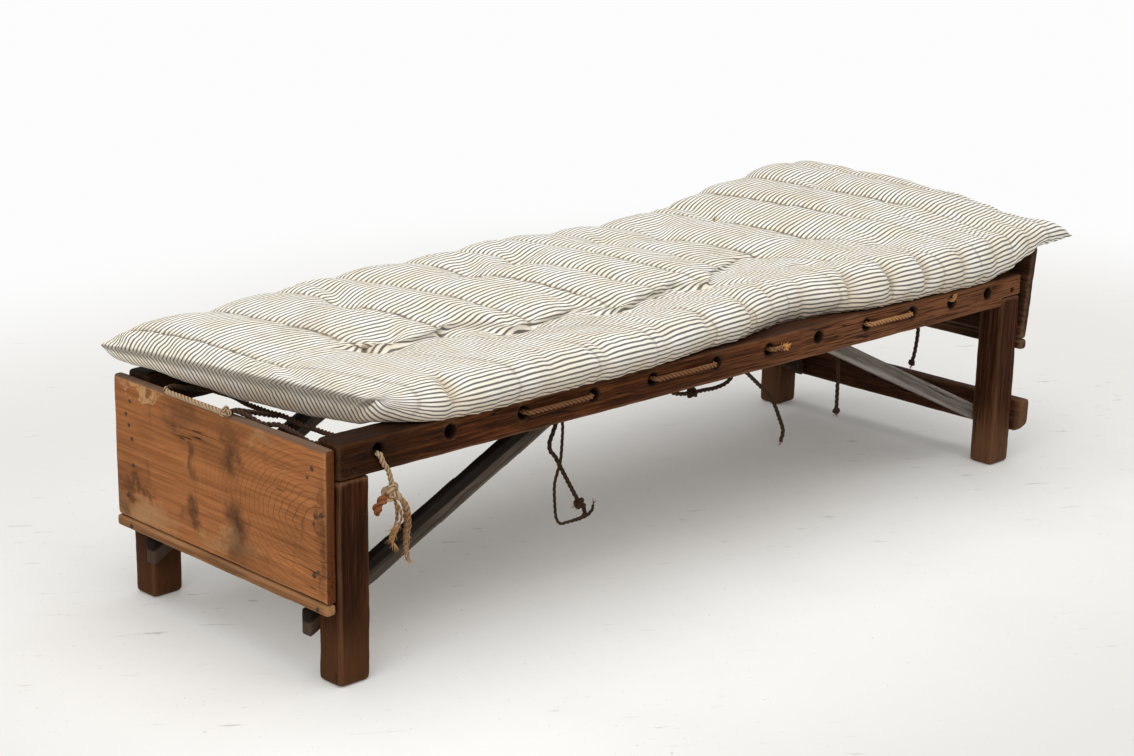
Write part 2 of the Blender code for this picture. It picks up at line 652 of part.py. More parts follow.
def rim_points(side, hole, along, upward=0):
    """Points of a rope through a hole that turns over its rim, along the rail or up it."""
    corner = [(HOLE_RADIUS - ROPE_BEND, SIDE_THICKNESS), (HOLE_RADIUS - ROPE_BEND, ROPE_BEND)]
    for quarter in (0.0, 0.5, 1.0):
        angle = quarter * math.pi / 2
        corner.append((HOLE_RADIUS - ROPE_BEND * math.cos(angle), -ROPE_BEND * math.sin(angle)))
    x = HOLE_PLACES[hole]
    return [side.bed(x + along * out, inset, HOLE_Z + upward * out) for out, inset in corner]


def axis_points(side, hole):
    """The outer and inner ends of a hole's own axis."""
    return [side.bed(HOLE_PLACES[hole], inset, HOLE_Z) for inset in (0.0, SIDE_THICKNESS)]


def outer_run(side, first):
    """A rope out of one hole, along the rail's outer face, and into the next hole towards the head."""
    return rim_points(side, first, 1) + rim_points(side, first + 1, -1)[::-1]


def make_lacing(near, far, bed):
    """The three lengths of rope that lace the rails, counting holes from the foot, and their knots."""
    tail_end = rim_points(near, 0, 0, -1)
    foot = [tail_end[1].lerp(tail_end[0], GAP / SIDE_THICKNESS), tail_end[0]] + outer_run(far, 0)
    make_tube("lacing_foot", foot, ROPE_DIAMETER, ROPE, bed)
    middle = axis_points(far, 2) + outer_run(near, 2) + outer_run(far, 3) + outer_run(near, 4)
    middle += outer_run(far, 5) + rim_points(near, 6, 1)
    middle.append(near.bed(HOLE_PLACES[6] + HOLE_RADIUS + STUB_LENGTH, -ROPE_BEND, HOLE_Z))
    make_tube("lacing_middle", middle, ROPE_DIAMETER, ROPE, bed)
    head = axis_points(far, 8) + outer_run(near, 8) + outer_run(far, 9) + rim_points(near, 10, 0, 1)
    head.append(near.bed(HOLE_PLACES[10], -ROPE_BEND, RAIL_TOP - ROPE_RADIUS))
    make_tube("lacing_head", head, ROPE_DIAMETER, ROPE, bed)
    seat = far.direction(0.0, KNOT_THICKNESS / 2 + GAP, 0.0)
    half = KNOT_THICKNESS / 2
    latitudes = [math.pi * (k / KNOT_RINGS - 0.5) for k in range(1, KNOT_RINGS)]
    profile = [(KNOT_DIAMETER / 2 * math.cos(a), half * math.sin(a)) for a in latitudes]
    knot = turned_mesh("stopper_knot", [(0.0, -half)] + profile + [(0.0, half)], KNOT_SIDES, ROPE)
    centres = (foot[-1] + seat, axis_points(far, 2)[0] - seat, axis_points(far, 8)[0] - seat)
    for end, centre in zip(("foot", "middle", "head"), centres):
        place_copy("stopper_knot_" + end, knot, Matrix.Translation(centre) @ axis_turn(seat), bed)


def point_across(start, end, y):
    """The point of a cross rope at a place across the bed."""
    return start.lerp(end, (y - start.y) / (end.y - start.y))


def make_panel_rope(near, far, bed):
    """A rope from the first cross rope, over the foot panel, along its front arris and back."""
    near_end, far_end = rim_points(near, 0, 0, -1)[0], rim_points(far, 0, 1)[0]
    lift = PANEL_TOP + GAP + ROPE_RADIUS
    front = -PANEL_THICKNESS - GAP
    proud = (ROPE_RADIUS + GAP) * math.sqrt(0.5)
    passes = []
    for y, way in zip(PANEL_ROPE_ENDS, (1, -1)):
        tie = point_across(near_end, far_end, y + way * PANEL_ROPE_SPLAY)
        tie.x -= ROPE_RADIUS + GAP
        half_way = Vector((tie.x / 2, tie.y, (tie.z + lift) / 2))
        inside = Vector((0.0, tie.y, lift))
        crest = Vector((front + BOARD_WEAR, y + way * PANEL_ROPE_SPLAY / 2, lift))
        turned = Vector((front - proud, y - way * PANEL_ROPE_SPLAY, PANEL_TOP + proud))
        passes.append([tie, half_way, inside, crest, turned])
    make_tube("panel_rope", passes[0] + passes[1][::-1], ROPE_DIAMETER, PALE_ROPE, bed)


def make_hanging_cords(bed):
    """The thin dark cords under the lacing."""
    routes = {"loop_cord": LOOP_ROUTE, "sagging_cord": SAGGING_ROUTE, "curved_cord": CURVED_ROUTE,
              "straight_cord": STRAIGHT_ROUTE, "short_cord": SHORT_ROUTE}
    for name, route in routes.items():
        make_tube(name, smooth_points(route, 3 * CORD_DIAMETER), CORD_DIAMETER, DARK_CORD, bed)


def make_tail(near, bed):
    """The rope end that hangs from the first hole: its rope, its knot, and two loose ends."""
    mouth = axis_points(near, 0)[0]
    tail, short_end, frayed_end = [[mouth + Vector(p) for p in route]
                                   for route in (TAIL_ROUTE, SHORT_END_ROUTE, FRAYED_END_ROUTE)]
    points = smooth_points(tail, ROPE_DIAMETER * 0.7)
    make_tube("tail_rope", points, ROPE_DIAMETER, PALE_ROPE, bed)
    size = Vector(TAIL_KNOT_SIZE) / 2
    centre = points[-1] - Vector((0.0, 0.0, size.z + GAP))
    knot = bmesh.new()
    bmesh.ops.create_uvsphere(knot, u_segments=12, v_segments=8, radius=1.0,
                              matrix=Matrix.Translation(centre) @ Matrix.Diagonal((*size, 1.0)))
    mesh_part("tail_knot", knot, bed, PALE_ROPE)
    points = smooth_points(short_end, SHORT_END_DIAMETER / 2)
    make_tube("tail_short_end", points, SHORT_END_DIAMETER, ROPE, bed)
    points = smooth_points(frayed_end, FRAYED_END_DIAMETER)
    loss = 1.0 - FRAYED_TIP_DIAMETER / FRAYED_END_DIAMETER
    radii = [1.0 - loss * k / (len(points) - 1) for k in range(len(points))]
    make_tube("tail_frayed_end", points, FRAYED_END_DIAMETER, PALE_ROPE, bed, radii)


def ease(t):
    """A smooth step from zero at zero to one at one."""
    held = min(1.0, max(0.0, t))
    return held * held * (3 - 2 * held)


def quarter_round(away, width):
    """The height of a quarter round, from zero at its edge to one at a width in from it."""
    return math.sqrt(1 - (1 - min(1.0, max(0.0, away / width))) ** 2)


def glide(place, table):
    """A value that glides from one place of a table to the next."""
    for (left, low), (right, high) in zip(table, table[1:]):
        if place <= right:
            return low + (high - low) * ease((place - left) / (right - left))
    return table[-1][1]


def mattress_x(u, y):
    """Place along the bed of a point of the ticking, u from foot to head."""
    foot = -MATTRESS_FOOT_OVERHANG + MATTRESS_FOOT_SKEW * (0.5 - y / MATTRESS_FOOT_WIDTH)
    head = FRAME_LENGTH + MATTRESS_HEAD_OVERHANG - MATTRESS_HEAD_SKEW * (0.5 + y / MATTRESS_HEAD_WIDTH)
    return foot + (head - foot) * u - ROW_SKEW * 2 * y / MATTRESS_FOOT_WIDTH * math.sin(math.pi * u)


def bearing(x, ramp):
    """Height that the mattress rests at, on the rails and up over the head board."""
    return RAIL_TOP + SOFT_GAP + (HEAD_BOARD_TOP - RAIL_TOP) * ease((x - HEAD_BOARD_CREST) / ramp + 1.0)


def near_roll(u):
    """Places across and heights of the near roll, from its seam out and up to its top."""
    x = mattress_x(u, NEAR_LINE)
    share = x / FRAME_LENGTH
    out = quarter_round(u, NOSE_SHARE)
    pinch = FOOT_WIDTH / 2 - PINCH_INSET
    full = FOOT_WIDTH / 2 + x * math.tan(TAPER) + glide(share, NEAR_OVERHANG)
    edge = -pinch - (full - pinch) * out
    seam = RAIL_TOP + SOFT_GAP + MATTRESS_SEAM_RISE
    low = seam + (bearing(x, NEAR_RAMP) + NEAR_SEAM_RISE - seam) * out
    top = bearing(x, NEAR_RAMP) + glide(share, NEAR_RISE)
    wide = PINCH_WIDTH + (ROLL_WIDTH - PINCH_WIDTH) * out
    middle = low + (top - low) * ROLL_MIDDLE
    shoulder = middle + (top - middle) * SHOULDER_RISE
    outer = [(edge + ROLL_TUCK * out, low), (edge, middle), (edge + wide * ROLL_SHOULDER, shoulder)]
    return outer + [(edge + wide, top)]


def mattress_section(u):
    """Places across and heights of the upper skin, from the near seam over the top to the far seam."""
    points = near_roll(u)
    inner, top = points[-1]
    share = mattress_x(u, VALLEY_LINE) / FRAME_LENGTH
    lip = max(glide(share, LIP_PLACE), inner + ROLL_WIDTH)
    firm = glide(share, LIP_SHARE)
    valley = bearing(mattress_x(u, VALLEY_LINE), MIDDLE_RAMP) + glide(share, VALLEY_RISE)
    far_x = mattress_x(u, FAR_LINE)
    far_edge = (MATTRESS_FOOT_WIDTH + (MATTRESS_HEAD_WIDTH - MATTRESS_FOOT_WIDTH) * u) / 2
    far_edge -= MATTRESS_DRAW * math.sin(math.pi * u)
    seam = bearing(far_x, MIDDLE_RAMP) + MATTRESS_SEAM_RISE
    crest = bearing(far_x, MIDDLE_RAMP) + glide(far_x / FRAME_LENGTH, FAR_RISE)
    points += [((inner + lip) / 2, (top + valley) / 2), (lip, valley)]
    points.append((lip + LIP_WIDTH, valley + LIP_RISE * firm))
    far_inner = far_edge - FAR_ROUND
    for t in FAR_SLOPE_SHARES:
        climbed = math.sin(math.pi / 2 * t ** (FAR_SLOPE_POWER - LIP_POWER * firm))
        points.append((lip + (far_inner - lip) * t, valley + (crest - valley) * climbed))
    points.append((far_inner, crest))
    points.append((far_edge - FAR_ROUND * (1 - SHOULDER_RISE), seam + (crest - seam) * SHOULDER_RISE))
    points.append((far_edge, seam))
    return points


def mattress_stations():
    """Shares of the mattress's length, close together at the ends and evenly spaced between the tuft rows."""
    places = list(END_SHARES)
    for left, right in zip(ROW_SHARES, ROW_SHARES[1:]):
        places += [left + (right - left) * k / CELLS_PER_ROW for k in range(CELLS_PER_ROW)]
    return places + [ROW_SHARES[-1]] + [1.0 - share for share in reversed(END_SHARES)]


def mattress_rows():
    """Points of the upper and the lower skin at each station."""
    length = FRAME_LENGTH + MATTRESS_HEAD_OVERHANG
    last = mattress_section(1.0)
    columns = len(last) - 1
    for u in mattress_stations():
        section = mattress_section(u)
        foot_away, head_away = u * length, (1 - u) * length
        rise = quarter_round(foot_away, TOP_ROUND) * quarter_round(head_away, HEAD_ROUND)
        fall = quarter_round(foot_away, UNDERSIDE_ROUND) * quarter_round(head_away, HEAD_ROUND)
        dimple = ROW_DEPTH if u in ROW_SHARES else 0.0
        top, under = [], []
        for k, (y, z) in enumerate(section):
            v = k / columns
            seam = RAIL_TOP + SOFT_GAP + MATTRESS_SEAM_RISE
            if u > 0.5:
                seam = last[0][1] + (last[-1][1] - last[0][1]) * v
            nose = NOSE_PROUD * hump(v, NOSE_SPREAD) * math.sin(math.pi * min(1.0, u / NOSE_REACH))
            top.append(Vector((mattress_x(u, y) - nose, y, seam + (z - dimple * ease(2 * v) - seam) * rise)))
            low_y = section[0][0] + (section[-1][0] - section[0][0]) * v
            low_z = seam + (underside(u, v, low_y, foot_away) - seam) * fall
            under.append(Vector((mattress_x(u, low_y) - nose, low_y, low_z)))
        under[0], under[-1] = top[0], top[-1]
        yield top, under if 0.0 < u < 1.0 else top


def underside(u, v, y, foot_away):
    """Height of the lower skin, which sags between the rails and lifts at the far foot corner."""
    x = mattress_x(u, y)
    ramp = NEAR_RAMP + (MIDDLE_RAMP - NEAR_RAMP) * ease(v / NEAR_ZONE)
    slack = FOOT_WIDTH / 2 + x * math.tan(TAPER) - SIDE_THICKNESS - MATTRESS_BEARING
    hollow = max(0.0, 1 - (y / slack) ** 2)
    flat = 1.0 if x < HEAD_BOARD_CREST - MIDDLE_RAMP else 0.0
    foot = 1 - ease(foot_away / FOOT_DIP_REACH)
    sag = hollow * (MATTRESS_SAG * math.sin(math.pi * u) * flat + FOOT_DIP * foot)
    lift = FAR_FOOT_LIFT * ease(2 * v - 1) * foot
    return bearing(x, ramp) - sag + lift


def hump(distance, spread):
    """A smooth rise of height one at distance zero."""
    return math.exp(-(distance / spread) ** 2)


def make_mattress(bed):
    """Two skins of ticking on one grid, sewn together round the edge, with rolls, a valley and tuft rows."""
    rows = list(mattress_rows())
    long_cells, cells_across = len(rows) - 1, len(rows[0][0]) - 1
    bm = bmesh.new()
    for layer in range(2):
        skin = bmesh.ops.create_grid(bm, x_segments=long_cells, y_segments=cells_across, size=0.5)["verts"]
        corners = [vert for vert in skin if len(vert.link_faces) == 1]
        for vert in skin:
            row, column = round((vert.co.x + 0.5) * long_cells), round((vert.co.y + 0.5) * cells_across)
            vert.co = rows[row][layer][column]
        for corner in corners:
            around = corner.link_faces[0].verts
            inner = next(vert for vert in around if len(vert.link_faces) == 4)
            bmesh.ops.connect_verts(bm, verts=[corner, inner])
    bmesh.ops.remove_doubles(bm, verts=bm.verts, dist=MERGE)
    bmesh.ops.recalc_face_normals(bm, faces=bm.faces)
    for face in bm.faces:
        face.smooth = True
    mesh_part("mattress_pad", bm, bed, TICKING)


clear_scene()
PARTS = collection("rope_bed")
CUTTERS = collection("rope_bed_cutters")
BED = empty("rope_bed", (ORIGIN_SHIFT, 0.0, 0.0), 0.0, None)
NEAR = Side("near", 1, BED)
FAR = Side("far", -1, BED)
SIDES = (NEAR, FAR)
RAILS = {side.name: make_rail(side) for side in SIDES}
LEGS = {(end, side.name): make_leg(side, end, start, shoulder)
        for side in SIDES for end, start, shoulder in leg_places()}
make_pegs(SIDES, RAILS, LEGS)
make_foot_boards(SIDES, LEGS, BED)
make_head_boards(SIDES, LEGS, BED)
make_braces(SIDES, RAILS, LEGS, BED)
make_lacing(NEAR, FAR, BED)
make_panel_rope(NEAR, FAR, BED)
make_hanging_cords(BED)
make_tail(NEAR, BED)
make_mattress(BED)
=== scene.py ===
"""Looks of the rope bed: worn timber, laced rope, hanging cords, nails and a striped ticking mattress.

Axes: X runs along the bed towards the head, Y across it to the far side, Z up, in metres.
Routes and places are counted from the outer faces of the foot legs along X, and from the bed's
centre line along Y, and BedSizes.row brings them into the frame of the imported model.
"""

import json
import logging
import math
from dataclasses import dataclass, replace
from enum import Enum
from typing import Any, Callable, ClassVar, Iterable, Optional, Sequence, Union

import bmesh
import bpy
import numpy as np
from mathutils import Matrix, Vector

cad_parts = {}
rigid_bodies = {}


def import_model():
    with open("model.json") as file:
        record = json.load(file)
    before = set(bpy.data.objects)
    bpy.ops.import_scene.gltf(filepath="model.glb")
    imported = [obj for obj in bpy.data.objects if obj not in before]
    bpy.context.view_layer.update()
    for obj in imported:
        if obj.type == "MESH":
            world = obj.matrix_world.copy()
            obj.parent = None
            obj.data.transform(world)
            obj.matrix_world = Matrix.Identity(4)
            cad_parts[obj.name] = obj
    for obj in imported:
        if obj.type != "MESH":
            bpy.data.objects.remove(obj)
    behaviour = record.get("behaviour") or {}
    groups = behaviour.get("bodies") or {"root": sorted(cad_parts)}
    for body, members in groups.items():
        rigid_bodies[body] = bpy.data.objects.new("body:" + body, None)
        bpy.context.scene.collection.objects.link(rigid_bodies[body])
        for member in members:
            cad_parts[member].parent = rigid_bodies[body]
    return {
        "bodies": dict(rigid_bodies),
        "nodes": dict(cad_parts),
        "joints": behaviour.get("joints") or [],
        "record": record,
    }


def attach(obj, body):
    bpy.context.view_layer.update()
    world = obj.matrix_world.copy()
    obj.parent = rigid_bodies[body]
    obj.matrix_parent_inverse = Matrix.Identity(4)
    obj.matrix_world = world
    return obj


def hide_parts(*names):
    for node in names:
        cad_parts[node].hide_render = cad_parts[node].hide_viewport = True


LOG = logging.getLogger("rope_bed")
Colour = tuple[float, float, float]
Point = tuple[float, float, float]
Band = tuple[float, float]
Array = np.ndarray
Material = bpy.types.Material
Object = bpy.types.Object
Mesh = bpy.types.Mesh
Table = tuple[tuple[float, float], ...]
MATTRESS_NAME = "ticking_mattress"
KNOT_POINTS = 73
KNOT_SIDE = (0.31, 0.17, 0.94)
COIL_POINTS = 16
WAVE_LANES = (3.5, 9.5)
# Crown, groove and dust colour of each rope; the groove colour is painted shade.
ROPE_COLOURS: dict[str, tuple[Colour, Colour, Colour]] = {
    "dark_cord": ((0.050, 0.024, 0.012), (0.009, 0.005, 0.004), (0.076, 0.041, 0.022)),
    "brown_rope": ((0.200, 0.088, 0.034), (0.026, 0.011, 0.006), (0.260, 0.130, 0.058)),
    "tan_rope": ((0.400, 0.195, 0.075), (0.085, 0.036, 0.014), (0.470, 0.270, 0.120)),
    "orange_fibre": ((0.700, 0.330, 0.095), (0.420, 0.165, 0.045), (0.760, 0.450, 0.180)),
    "pale_rope": ((0.400, 0.270, 0.155), (0.085, 0.047, 0.024), (0.480, 0.350, 0.220)),
    "rust_rope": ((0.200, 0.062, 0.020), (0.050, 0.017, 0.006), (0.270, 0.105, 0.040)),
    "golden_rope": ((0.400, 0.215, 0.090), (0.130, 0.062, 0.027), (0.520, 0.340, 0.180)),
    "tuft_thread": ((0.560, 0.400, 0.130), (0.300, 0.190, 0.050), (0.640, 0.500, 0.230))}


def maths(operation: str, swapped: bool = False) -> Callable[..., "Value"]:
    """A method that adds a Math node to its value's tree.

    Args:
        operation: The node's operation.
        swapped: Whether the other value comes first.

    Returns:
        The method.
    """
    def method(self: "Value", other: Any = 0.0) -> "Value":
        """Join this value with another one."""
        first, second = (other, self) if swapped else (self, other)
        return self.book.value("ShaderNodeMath", {"operation": operation}, {0: first, 1: second})
    return method


class Value:
    """A node's output socket that Python's operators work on."""

    __add__, __radd__ = maths("ADD"), maths("ADD", swapped=True)
    __sub__, __rsub__ = maths("SUBTRACT"), maths("SUBTRACT", swapped=True)
    __mul__, __rmul__ = maths("MULTIPLY"), maths("MULTIPLY", swapped=True)
    __truediv__, __mod__ = maths("DIVIDE"), maths("FLOORED_MODULO")
    __pow__, __abs__ = maths("POWER"), maths("ABSOLUTE")
    most = maths("MAXIMUM")

    def __init__(self, book: "NodeBook", socket: bpy.types.NodeSocket) -> None:
        """Wrap an output socket of a tree."""
        self.book = book
        self.socket = socket


class NodeBook:
    """A node tree and the one way to add nodes to it."""

    def __init__(self, tree: bpy.types.NodeTree) -> None:
        """Take an empty tree."""
        self.tree = tree

    def node(self, kind: str, settings: Optional[dict] = None,
             sockets: Optional[dict] = None) -> bpy.types.Node:
        """Add a node to the tree.

        Args:
            kind: The node's type.
            settings: Its properties, which are set first.
            sockets: Values or links of its inputs, by name or number.

        Returns:
            The node.
        """
        made = self.tree.nodes.new(kind)
        for key, setting in (settings or {}).items():
            setattr(made, key, setting)
        self.feed(made, sockets or {})
        return made

    def feed(self, node: bpy.types.Node, sockets: dict) -> None:
        """Set or link a node's inputs.

        Args:
            node: The node.
            sockets: Values or links by the input's name or number.
        """
        for key, given in sockets.items():
            target = node.inputs[key]
            if isinstance(given, Value):
                self.tree.links.new(given.socket, target)
            elif isinstance(given, bpy.types.NodeSocket):
                self.tree.links.new(given, target)
            elif target.type == "RGBA":
                target.default_value = (*given, 1.0)
            else:
                target.default_value = given

    def value(self, kind: str, settings: Optional[dict] = None, sockets: Optional[dict] = None,
              output: Union[int, str] = 0) -> Value:
        """Add a node and wrap one of its outputs."""
        return Value(self, self.node(kind, settings, sockets).outputs[output])

    def scaled(self, vector: Value, share: Any) -> Value:
        """A vector times a value."""
        return self.value("ShaderNodeVectorMath", {"operation": "SCALE"}, {0: vector, "Scale": share})

    def step(self, value: Value, low: float, high: float) -> Value:
        """A smooth step from zero at low to one at high."""
        return self.value("ShaderNodeMapRange", {"interpolation_type": "SMOOTHSTEP"},
                          {"Value": value, "From Min": low, "From Max": high})


def link_object(name: str, data: bpy.types.ID) -> Object:
    """Add an object to the scene, at the origin."""
    made = bpy.data.objects.new(name, data)
    bpy.context.scene.collection.objects.link(made)
    return made


def applied_mesh(source: Object) -> Mesh:
    """A new mesh with an object's modifiers applied."""
    graph = bpy.context.evaluated_depsgraph_get()
    return bpy.data.meshes.new_from_object(source.evaluated_get(graph))


def point_mesh(name: str, points: Iterable[Sequence[float]]) -> Mesh:
    """A mesh of loose points."""
    mesh = bpy.data.meshes.new(name)
    mesh.from_pydata([tuple(point) for point in points], [], [])
    return mesh


def mesh_points(mesh: Mesh) -> Array:
    """The places of a mesh's points."""
    flat = np.zeros(len(mesh.vertices) * 3, np.float32)
    mesh.vertices.foreach_get("co", flat)
    return flat.reshape(-1, 3).astype(float)


def move_points(mesh: Mesh, points: Array) -> None:
    """Give a mesh's points new places."""
    mesh.vertices.foreach_set("co", points.astype(np.float32).ravel())
    mesh.update()


def mark_points(mesh: Mesh, label: str, values: Array) -> None:
    """Store a value or a vector at each point of a mesh."""
    kind, field = ("FLOAT", "value") if values.ndim == 1 else ("FLOAT_VECTOR", "vector")
    layer = mesh.attributes.new(label, kind, "POINT")
    layer.data.foreach_set(field, values.astype(np.float32).ravel())


class Growth(NodeBook):
    """A Geometry Nodes tree with named inputs, which makes plain meshes."""

    def __init__(self, name: str, **inputs: tuple[str, Any]) -> None:
        """Start a tree.

        Args:
            name: The tree's name.
            inputs: Socket type and default of each input, by its name.
        """
        super().__init__(bpy.data.node_groups.new(name, "GeometryNodeTree"))
        face = self.tree.interface
        face.new_socket("Geometry", in_out="INPUT", socket_type="NodeSocketGeometry")
        face.new_socket("Geometry", in_out="OUTPUT", socket_type="NodeSocketGeometry")
        self.keys: dict[str, str] = {}
        for label, (kind, default) in inputs.items():
            socket = face.new_socket(label, in_out="INPUT", socket_type="NodeSocket" + kind)
            if default is not None:
                socket.default_value = default
            self.keys[label] = socket.identifier
        self.start = self.node("NodeGroupInput")
        self.end = self.node("NodeGroupOutput")

    def given(self, label: str) -> Value:
        """One of the tree's inputs."""
        return Value(self, self.start.outputs[label])

    def finish(self, geometry: Value) -> None:
        """Realize the instances, set the material, and hand the result out."""
        real = self.value("GeometryNodeRealizeInstances", {}, {0: geometry})
        dressed = self.value("GeometryNodeSetMaterial", {},
                             {"Geometry": real, "Material": self.given("Material")})
        self.feed(self.end, {0: dressed})

    def named(self, label: str, kind: str = "FLOAT") -> Value:
        """A named attribute of the points."""
        return self.value("GeometryNodeInputNamedAttribute", {"data_type": kind}, {"Name": label})

    def random(self, low: float, high: float, seed: Value) -> Value:
        """A random value for each point."""
        return self.value("FunctionNodeRandomValue", {"data_type": "FLOAT"},
                          {2: low, 3: high, "Seed": seed}, 1)

    def added(self, first: Value, second: Value) -> Value:
        """The sum of two vectors."""
        return self.value("ShaderNodeVectorMath", {"operation": "ADD"}, {0: first, 1: second})

    def grow(self, name: str, seedling: Mesh, voxel: float = 0.0, **inputs: Any) -> Object:
        """Run the tree on a mesh.

        Args:
            name: Name of the new piece.
            seedling: The mesh that the tree starts from.
            voxel: Size of a voxel remesh before the tree, or zero for none.
            inputs: Values of the tree's inputs.

        Returns:
            A plain mesh object, linked to the scene.
        """
        source = link_object(name + "_seedling", seedling)
        if voxel:
            remesh = source.modifiers.new("remesh", "REMESH")
            remesh.mode = "VOXEL"
            remesh.voxel_size = voxel
            remesh.use_smooth_shade = True
        modifier = source.modifiers.new(self.tree.name, "NODES")
        modifier.node_group = self.tree
        for label, given in inputs.items():
            modifier[self.keys[label]] = given
        mesh = applied_mesh(source)
        bpy.data.objects.remove(source)
        mesh.name = name
        return link_object(name, mesh)


class Shade(NodeBook):
    """A material with a Principled shader."""

    def __init__(self, name: str) -> None:
        """Make an empty material with one shader and its output."""
        self.material = bpy.data.materials.new(name)
        self.material.use_nodes = True
        super().__init__(self.material.node_tree)
        self.tree.nodes.clear()
        self.shader = self.node("ShaderNodeBsdfPrincipled")
        self.output = self.node("ShaderNodeOutputMaterial", {}, {"Surface": self.shader.outputs[0]})

    def place(self, turn: Point = (0.0, 0.0, 0.0), scale: Point = (1.0, 1.0, 1.0),
              shift: Point = (0.0, 0.0, 0.0)) -> Value:
        """Object coordinates, turned and scaled.

        Args:
            turn: Rotation in radians.
            scale: Scale along each axis after the turn.
            shift: Move before scaling.

        Returns:
            The coordinates.
        """
        spot = self.value("ShaderNodeTexCoord", {}, {}, "Object")
        turned = self.value("ShaderNodeMapping", {"vector_type": "POINT"}, {"Vector": spot, "Rotation": turn})
        return self.value("ShaderNodeMapping", {"vector_type": "POINT"},
                          {"Vector": turned, "Location": shift, "Scale": scale})

    def noise(self, place: Value, scale: float, detail: float = 3.0, rough: float = 0.55,
              bend: float = 0.0) -> Value:
        """A noise pattern's value."""
        return self.value("ShaderNodeTexNoise", {}, {"Vector": place, "Scale": scale, "Detail": detail,
                                                     "Roughness": rough, "Distortion": bend})

    def attribute(self, label: str) -> Value:
        """A value that is stored on the mesh."""
        return self.value("ShaderNodeAttribute", {"attribute_name": label}, {}, "Fac")

    def stretched(self, place: Value, scale: Point) -> Value:
        """Coordinates scaled along each axis."""
        return self.value("ShaderNodeMapping", {}, {"Vector": place, "Scale": scale})

    def mix(self, share: Any, first: Any, second: Any, blend: str = "MIX") -> Value:
        """Mix two colours."""
        settings = {"data_type": "RGBA", "blend_type": blend}
        return self.value("ShaderNodeMix", settings, {0: share, 6: first, 7: second}, 2)

    def parts(self, vector: Value) -> tuple[Value, Value, Value]:
        """The three parts of a vector."""
        split = self.node("ShaderNodeSeparateXYZ", {}, {0: vector})
        return tuple(Value(self, socket) for socket in split.outputs)

    def bump(self, height: Value, strength: float, distance: float) -> Value:
        """A bumped normal."""
        return self.value("ShaderNodeBump", {},
                          {"Height": height, "Strength": strength, "Distance": distance})

    def dress(self, **sockets: Any) -> Material:
        """Feed the shader and return the material."""
        self.feed(self.shader, {key.replace("_", " "): given for key, given in sockets.items()})
        return self.material


class Grain(Enum):
    """Turn that brings a timber's grain to X."""

    LENGTHWISE = (0.0, 0.0, 0.0)
    ACROSS = (0.0, 0.0, -math.pi / 2)
    UPRIGHT = (0.0, math.pi / 2, 0.0)
    RISING = (0.0, math.radians(25.5), 0.0)
    FALLING = (0.0, math.radians(-25.5), 0.0)


@dataclass(frozen=True)
class Pattern:
    """A noise pattern in timber, drawn out along the grain."""

    stretch: Point
    scale: float
    detail: float
    rough: float = 0.55
    bend: float = 0.0
    shift: Point = (0.0, 0.0, 0.0)

    def draw(self, shade: Shade, turn: Point) -> Value:
        """The pattern's value where the grain is turned."""
        place = shade.place(turn, self.stretch, self.shift)
        return shade.noise(place, self.scale, self.detail, self.rough, self.bend)


